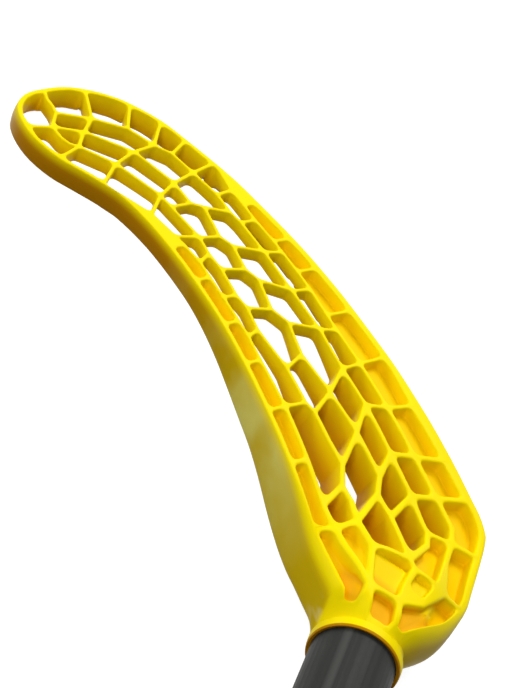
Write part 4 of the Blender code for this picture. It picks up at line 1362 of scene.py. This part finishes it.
# %% Materials of the other pieces
SHAFT_DARK = (0.020, 0.021, 0.019)
SHAFT_GREY = (0.033, 0.034, 0.031)
SHAFT_PALE = (0.062, 0.064, 0.058)
FIBRE_SCALES = (5.0, 300.0, 300.0)
FIBRE_EDGES = (0.3, 0.7)
PALE_SCALES = (4.0, 130.0, 130.0)
PALE_EDGES = (0.55, 0.66)
SHADE_EDGES = (0.35, 0.65)
GRAIN_PER_SHADE = 6


def shaft_material():
    material, nodes, inputs = new_material("shaft_grey", 0.5, specular=0.08)
    fibres = ramp(fibre_noise(nodes, FIBRE_SCALES, 2.0), FIBRE_EDGES)
    pale = ramp(fibre_noise(nodes, PALE_SCALES), PALE_EDGES)
    colour = colour_mix(pale, colour_mix(fibres, SHAFT_DARK, SHAFT_GREY), SHAFT_PALE)
    add_finish(nodes, inputs, colour, 500.0, variation=0.10, strength=0.05, distance=0.0002)
    return material


def simple_material(name, dark, light, scale, roughness, variation, metallic=0.0):
    """Two close shades in a soft noise, with fine grain."""
    material, nodes, inputs = new_material(name, roughness, 0.25, metallic)
    colour = colour_mix(ramp(noise(object_place(nodes), scale, 3.0), SHADE_EDGES), dark, light)
    add_finish(nodes, inputs, colour, scale * GRAIN_PER_SHADE, variation, strength=0.15, distance=0.0003)
    return material


rubber = simple_material("cap_rubber", (0.016,) * 3, (0.028,) * 3, 120.0, 0.6, 0.12)
tape = simple_material("tape_black", (0.014, 0.014, 0.015), (0.022, 0.022, 0.024), 90.0, 0.35, 0.1)
steel = simple_material("screw_steel", (0.45, 0.45, 0.46), (0.62, 0.62, 0.63), 900.0, 0.28, 0.1, metallic=1.0)
print("materials:", sorted(material.name for material in bpy.data.materials))

# %% Smooth copies
MERGE_WITHIN = 1e-6
COPY_SMOOTH_BELOW = math.radians(30)


def join_doubles(form):
    bmesh.ops.remove_doubles(form, verts=form.verts, dist=MERGE_WITHIN)


def smooth_copy(name, material):
    """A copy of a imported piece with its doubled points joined, smooth except at its sharp edges."""
    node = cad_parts[name]
    mesh = node.data.copy()
    mesh.transform(node.matrix_world)
    smooth_mesh(mesh, join_doubles, COPY_SMOOTH_BELOW)
    mesh.materials.clear()
    mesh.materials.append(material)
    copy = add_object("smooth_" + name, mesh)
    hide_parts(name)
    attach(copy, "root")
    print(copy.name, "has", len(mesh.vertices), "points")


smooth_copy("shaft", shaft_material())
smooth_copy("butt_cap", rubber)
smooth_copy("grip_end_tape", tape)
smooth_copy("blade_screw_1", steel)
smooth_copy("blade_screw_2", steel)

# %% [markdown]
# ## Studio and camera
#
# The stick lies on plain white with hardly a shadow. An overexposed floor would do that, but would
# flood the yellow with light from below. So the floor and the world are bright only for rays that
# are seen, and send little light back. One soft light overhead, one from the side and a weak fill
# model the blade, and one lights the far end.

# %% Floor and world
FLOOR_SIZE = 8.0
WHITE = (1.0, 1.0, 1.0)
FLOOR_GLOW = 0.92
FLOOR_SHADE = 0.3
FLOOR_BOUNCE = 0.25
WORLD_LIGHT = 0.12
SEEN_BY = ("Is Camera Ray", "Is Glossy Ray", "Is Transmission Ray")


def empty_nodes(owner):
    """The short calls for the emptied node tree of a material or a world."""
    owner.use_nodes = True
    owner.node_tree.nodes.clear()
    return Nodes(owner.node_tree)


def seen_or_lighting(nodes, seen, lighting, output):
    """One shader for rays from the camera, off a glossy surface or through glass, and one for the rest."""
    path = nodes.outputs("ShaderNodeLightPath")
    camera, glossy, glass = (path[name] for name in SEEN_BY)
    direct = camera.math("MAXIMUM", glossy).math("MAXIMUM", glass)
    nodes.add(output, {0: nodes.value("ShaderNodeMixShader", {0: direct, 1: lighting, 2: seen})})


def diffuse(nodes, shade):
    return nodes.value("ShaderNodeBsdfDiffuse", {"Color": (shade, shade, shade)})


def make_floor():
    """White with a faint shadow where it is seen, and pale where it only sends light back."""
    material = bpy.data.materials.new("stage_white")
    nodes = empty_nodes(material)
    glow = nodes.value("ShaderNodeEmission", {"Strength": FLOOR_GLOW})
    white = nodes.value("ShaderNodeAddShader", {0: glow, 1: diffuse(nodes, FLOOR_SHADE)})
    seen_or_lighting(nodes, white, diffuse(nodes, FLOOR_BOUNCE), "ShaderNodeOutputMaterial")
    half = FLOOR_SIZE / 2
    mesh = bpy.data.meshes.new("floor")
    corners = [(-half, -half, 0), (half, -half, 0), (half, half, 0), (-half, half, 0)]
    mesh.from_pydata(corners, [], [(0, 1, 2, 3)])
    mesh.materials.append(material)
    floor = add_object("floor", mesh)
    floor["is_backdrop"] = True


def make_world():
    world = bpy.data.worlds.new("studio")
    nodes = empty_nodes(world)
    light = nodes.value("ShaderNodeBackground", {"Color": WHITE, "Strength": WORLD_LIGHT})
    white = nodes.value("ShaderNodeBackground", {"Color": WHITE})
    seen_or_lighting(nodes, white, light, "ShaderNodeOutputWorld")
    bpy.context.scene.world = world


make_floor()
make_world()
print("floor:", FLOOR_SIZE, "m wide; world light:", WORLD_LIGHT)

# %% Lights
BLADE_MIDDLE = STICK @ Vector((0.08, 0.08, 0.0))
FAR_END = Vector((-0.4, -0.08, 0.0))
# For each light: what it is turned to, where it is from there, its two sides and its power
LIGHTS = {
    "overhead": (BLADE_MIDDLE, (0.75, -0.1, 1.0), (0.7, 0.7), 13.0),
    "side": (BLADE_MIDDLE, (0.36, 1.14, 0.3), (0.9, 0.4), 5.5),
    "fill": (BLADE_MIDDLE, (-0.9, 0.1, 0.7), (0.8, 0.8), 1.6),
    "far_end": (FAR_END, (0.0, 0.58, 1.2), (1.0, 0.5), 10.0),
}


def area_light(name, target, offset, size, power):
    """A soft rectangular light, turned to its target."""
    data = bpy.data.lights.new(name, "AREA")
    data.shape = "RECTANGLE"
    data.size, data.size_y = size
    data.energy = power
    light = add_object(name, data)
    light.location = target + Vector(offset)
    light.rotation_euler = (-Vector(offset)).to_track_quat("-Z", "Y").to_euler()


for name, values in LIGHTS.items():
    area_light(name, *values)
print("lights:", *LIGHTS)

# %% [markdown]
# The camera stands where the picture was taken from. It could be moved by eye until it fits. It was
# matched instead: its place and its three directions are written in the stick's frame, so that the
# socket's round lip and the shaft's sides fall where the photograph shows them.

# %% Camera
CAMERA_OFFSET = Vector((29.125, 93.796, 542.433))
SHAFT_IN_VIEW = Vector((0.30046, -0.52996, 0.79301))
UP_IN_VIEW = Vector((0.53392, -0.59550, -0.60026))
FOCAL_PIXELS = 1800.0
FRAME_HEIGHT = 688
SENSOR = 36.0


def make_camera():
    """The mouth of the socket lies at the offset in the camera's view: right, down and away."""
    view = Matrix((SHAFT_IN_VIEW, UP_IN_VIEW.cross(SHAFT_IN_VIEW), UP_IN_VIEW))
    place = -(view @ CAMERA_OFFSET) * MM
    turn = (view @ Matrix.Diagonal((1, -1, -1))).to_4x4()
    data = bpy.data.cameras.new("photo_camera")
    data.sensor_width = SENSOR
    data.lens = FOCAL_PIXELS / FRAME_HEIGHT * SENSOR
    camera = add_object("photo_camera", data)
    camera.matrix_world = STICK @ Matrix.Translation(place) @ turn
    bpy.context.scene.camera = camera
    return camera


camera = make_camera()
bpy.context.scene.view_settings.view_transform = "Standard"
print("camera at", [round(value, 3) for value in camera.matrix_world.translation])

# %% [markdown]
# The dressed stick should fill the imported model's box and hardly pass it. One could measure by eye in the
# viewport. Both boxes are measured instead, and how far the dressed stick grows past the imported one on each
# side is printed.

# %% Compare the two boxes
visual_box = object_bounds()


growth = [[round((b - a) / MM, 2) for a, b in zip(one, two)] for one, two in zip(cad_box, visual_box)]
print("grows by, mm:", growth)
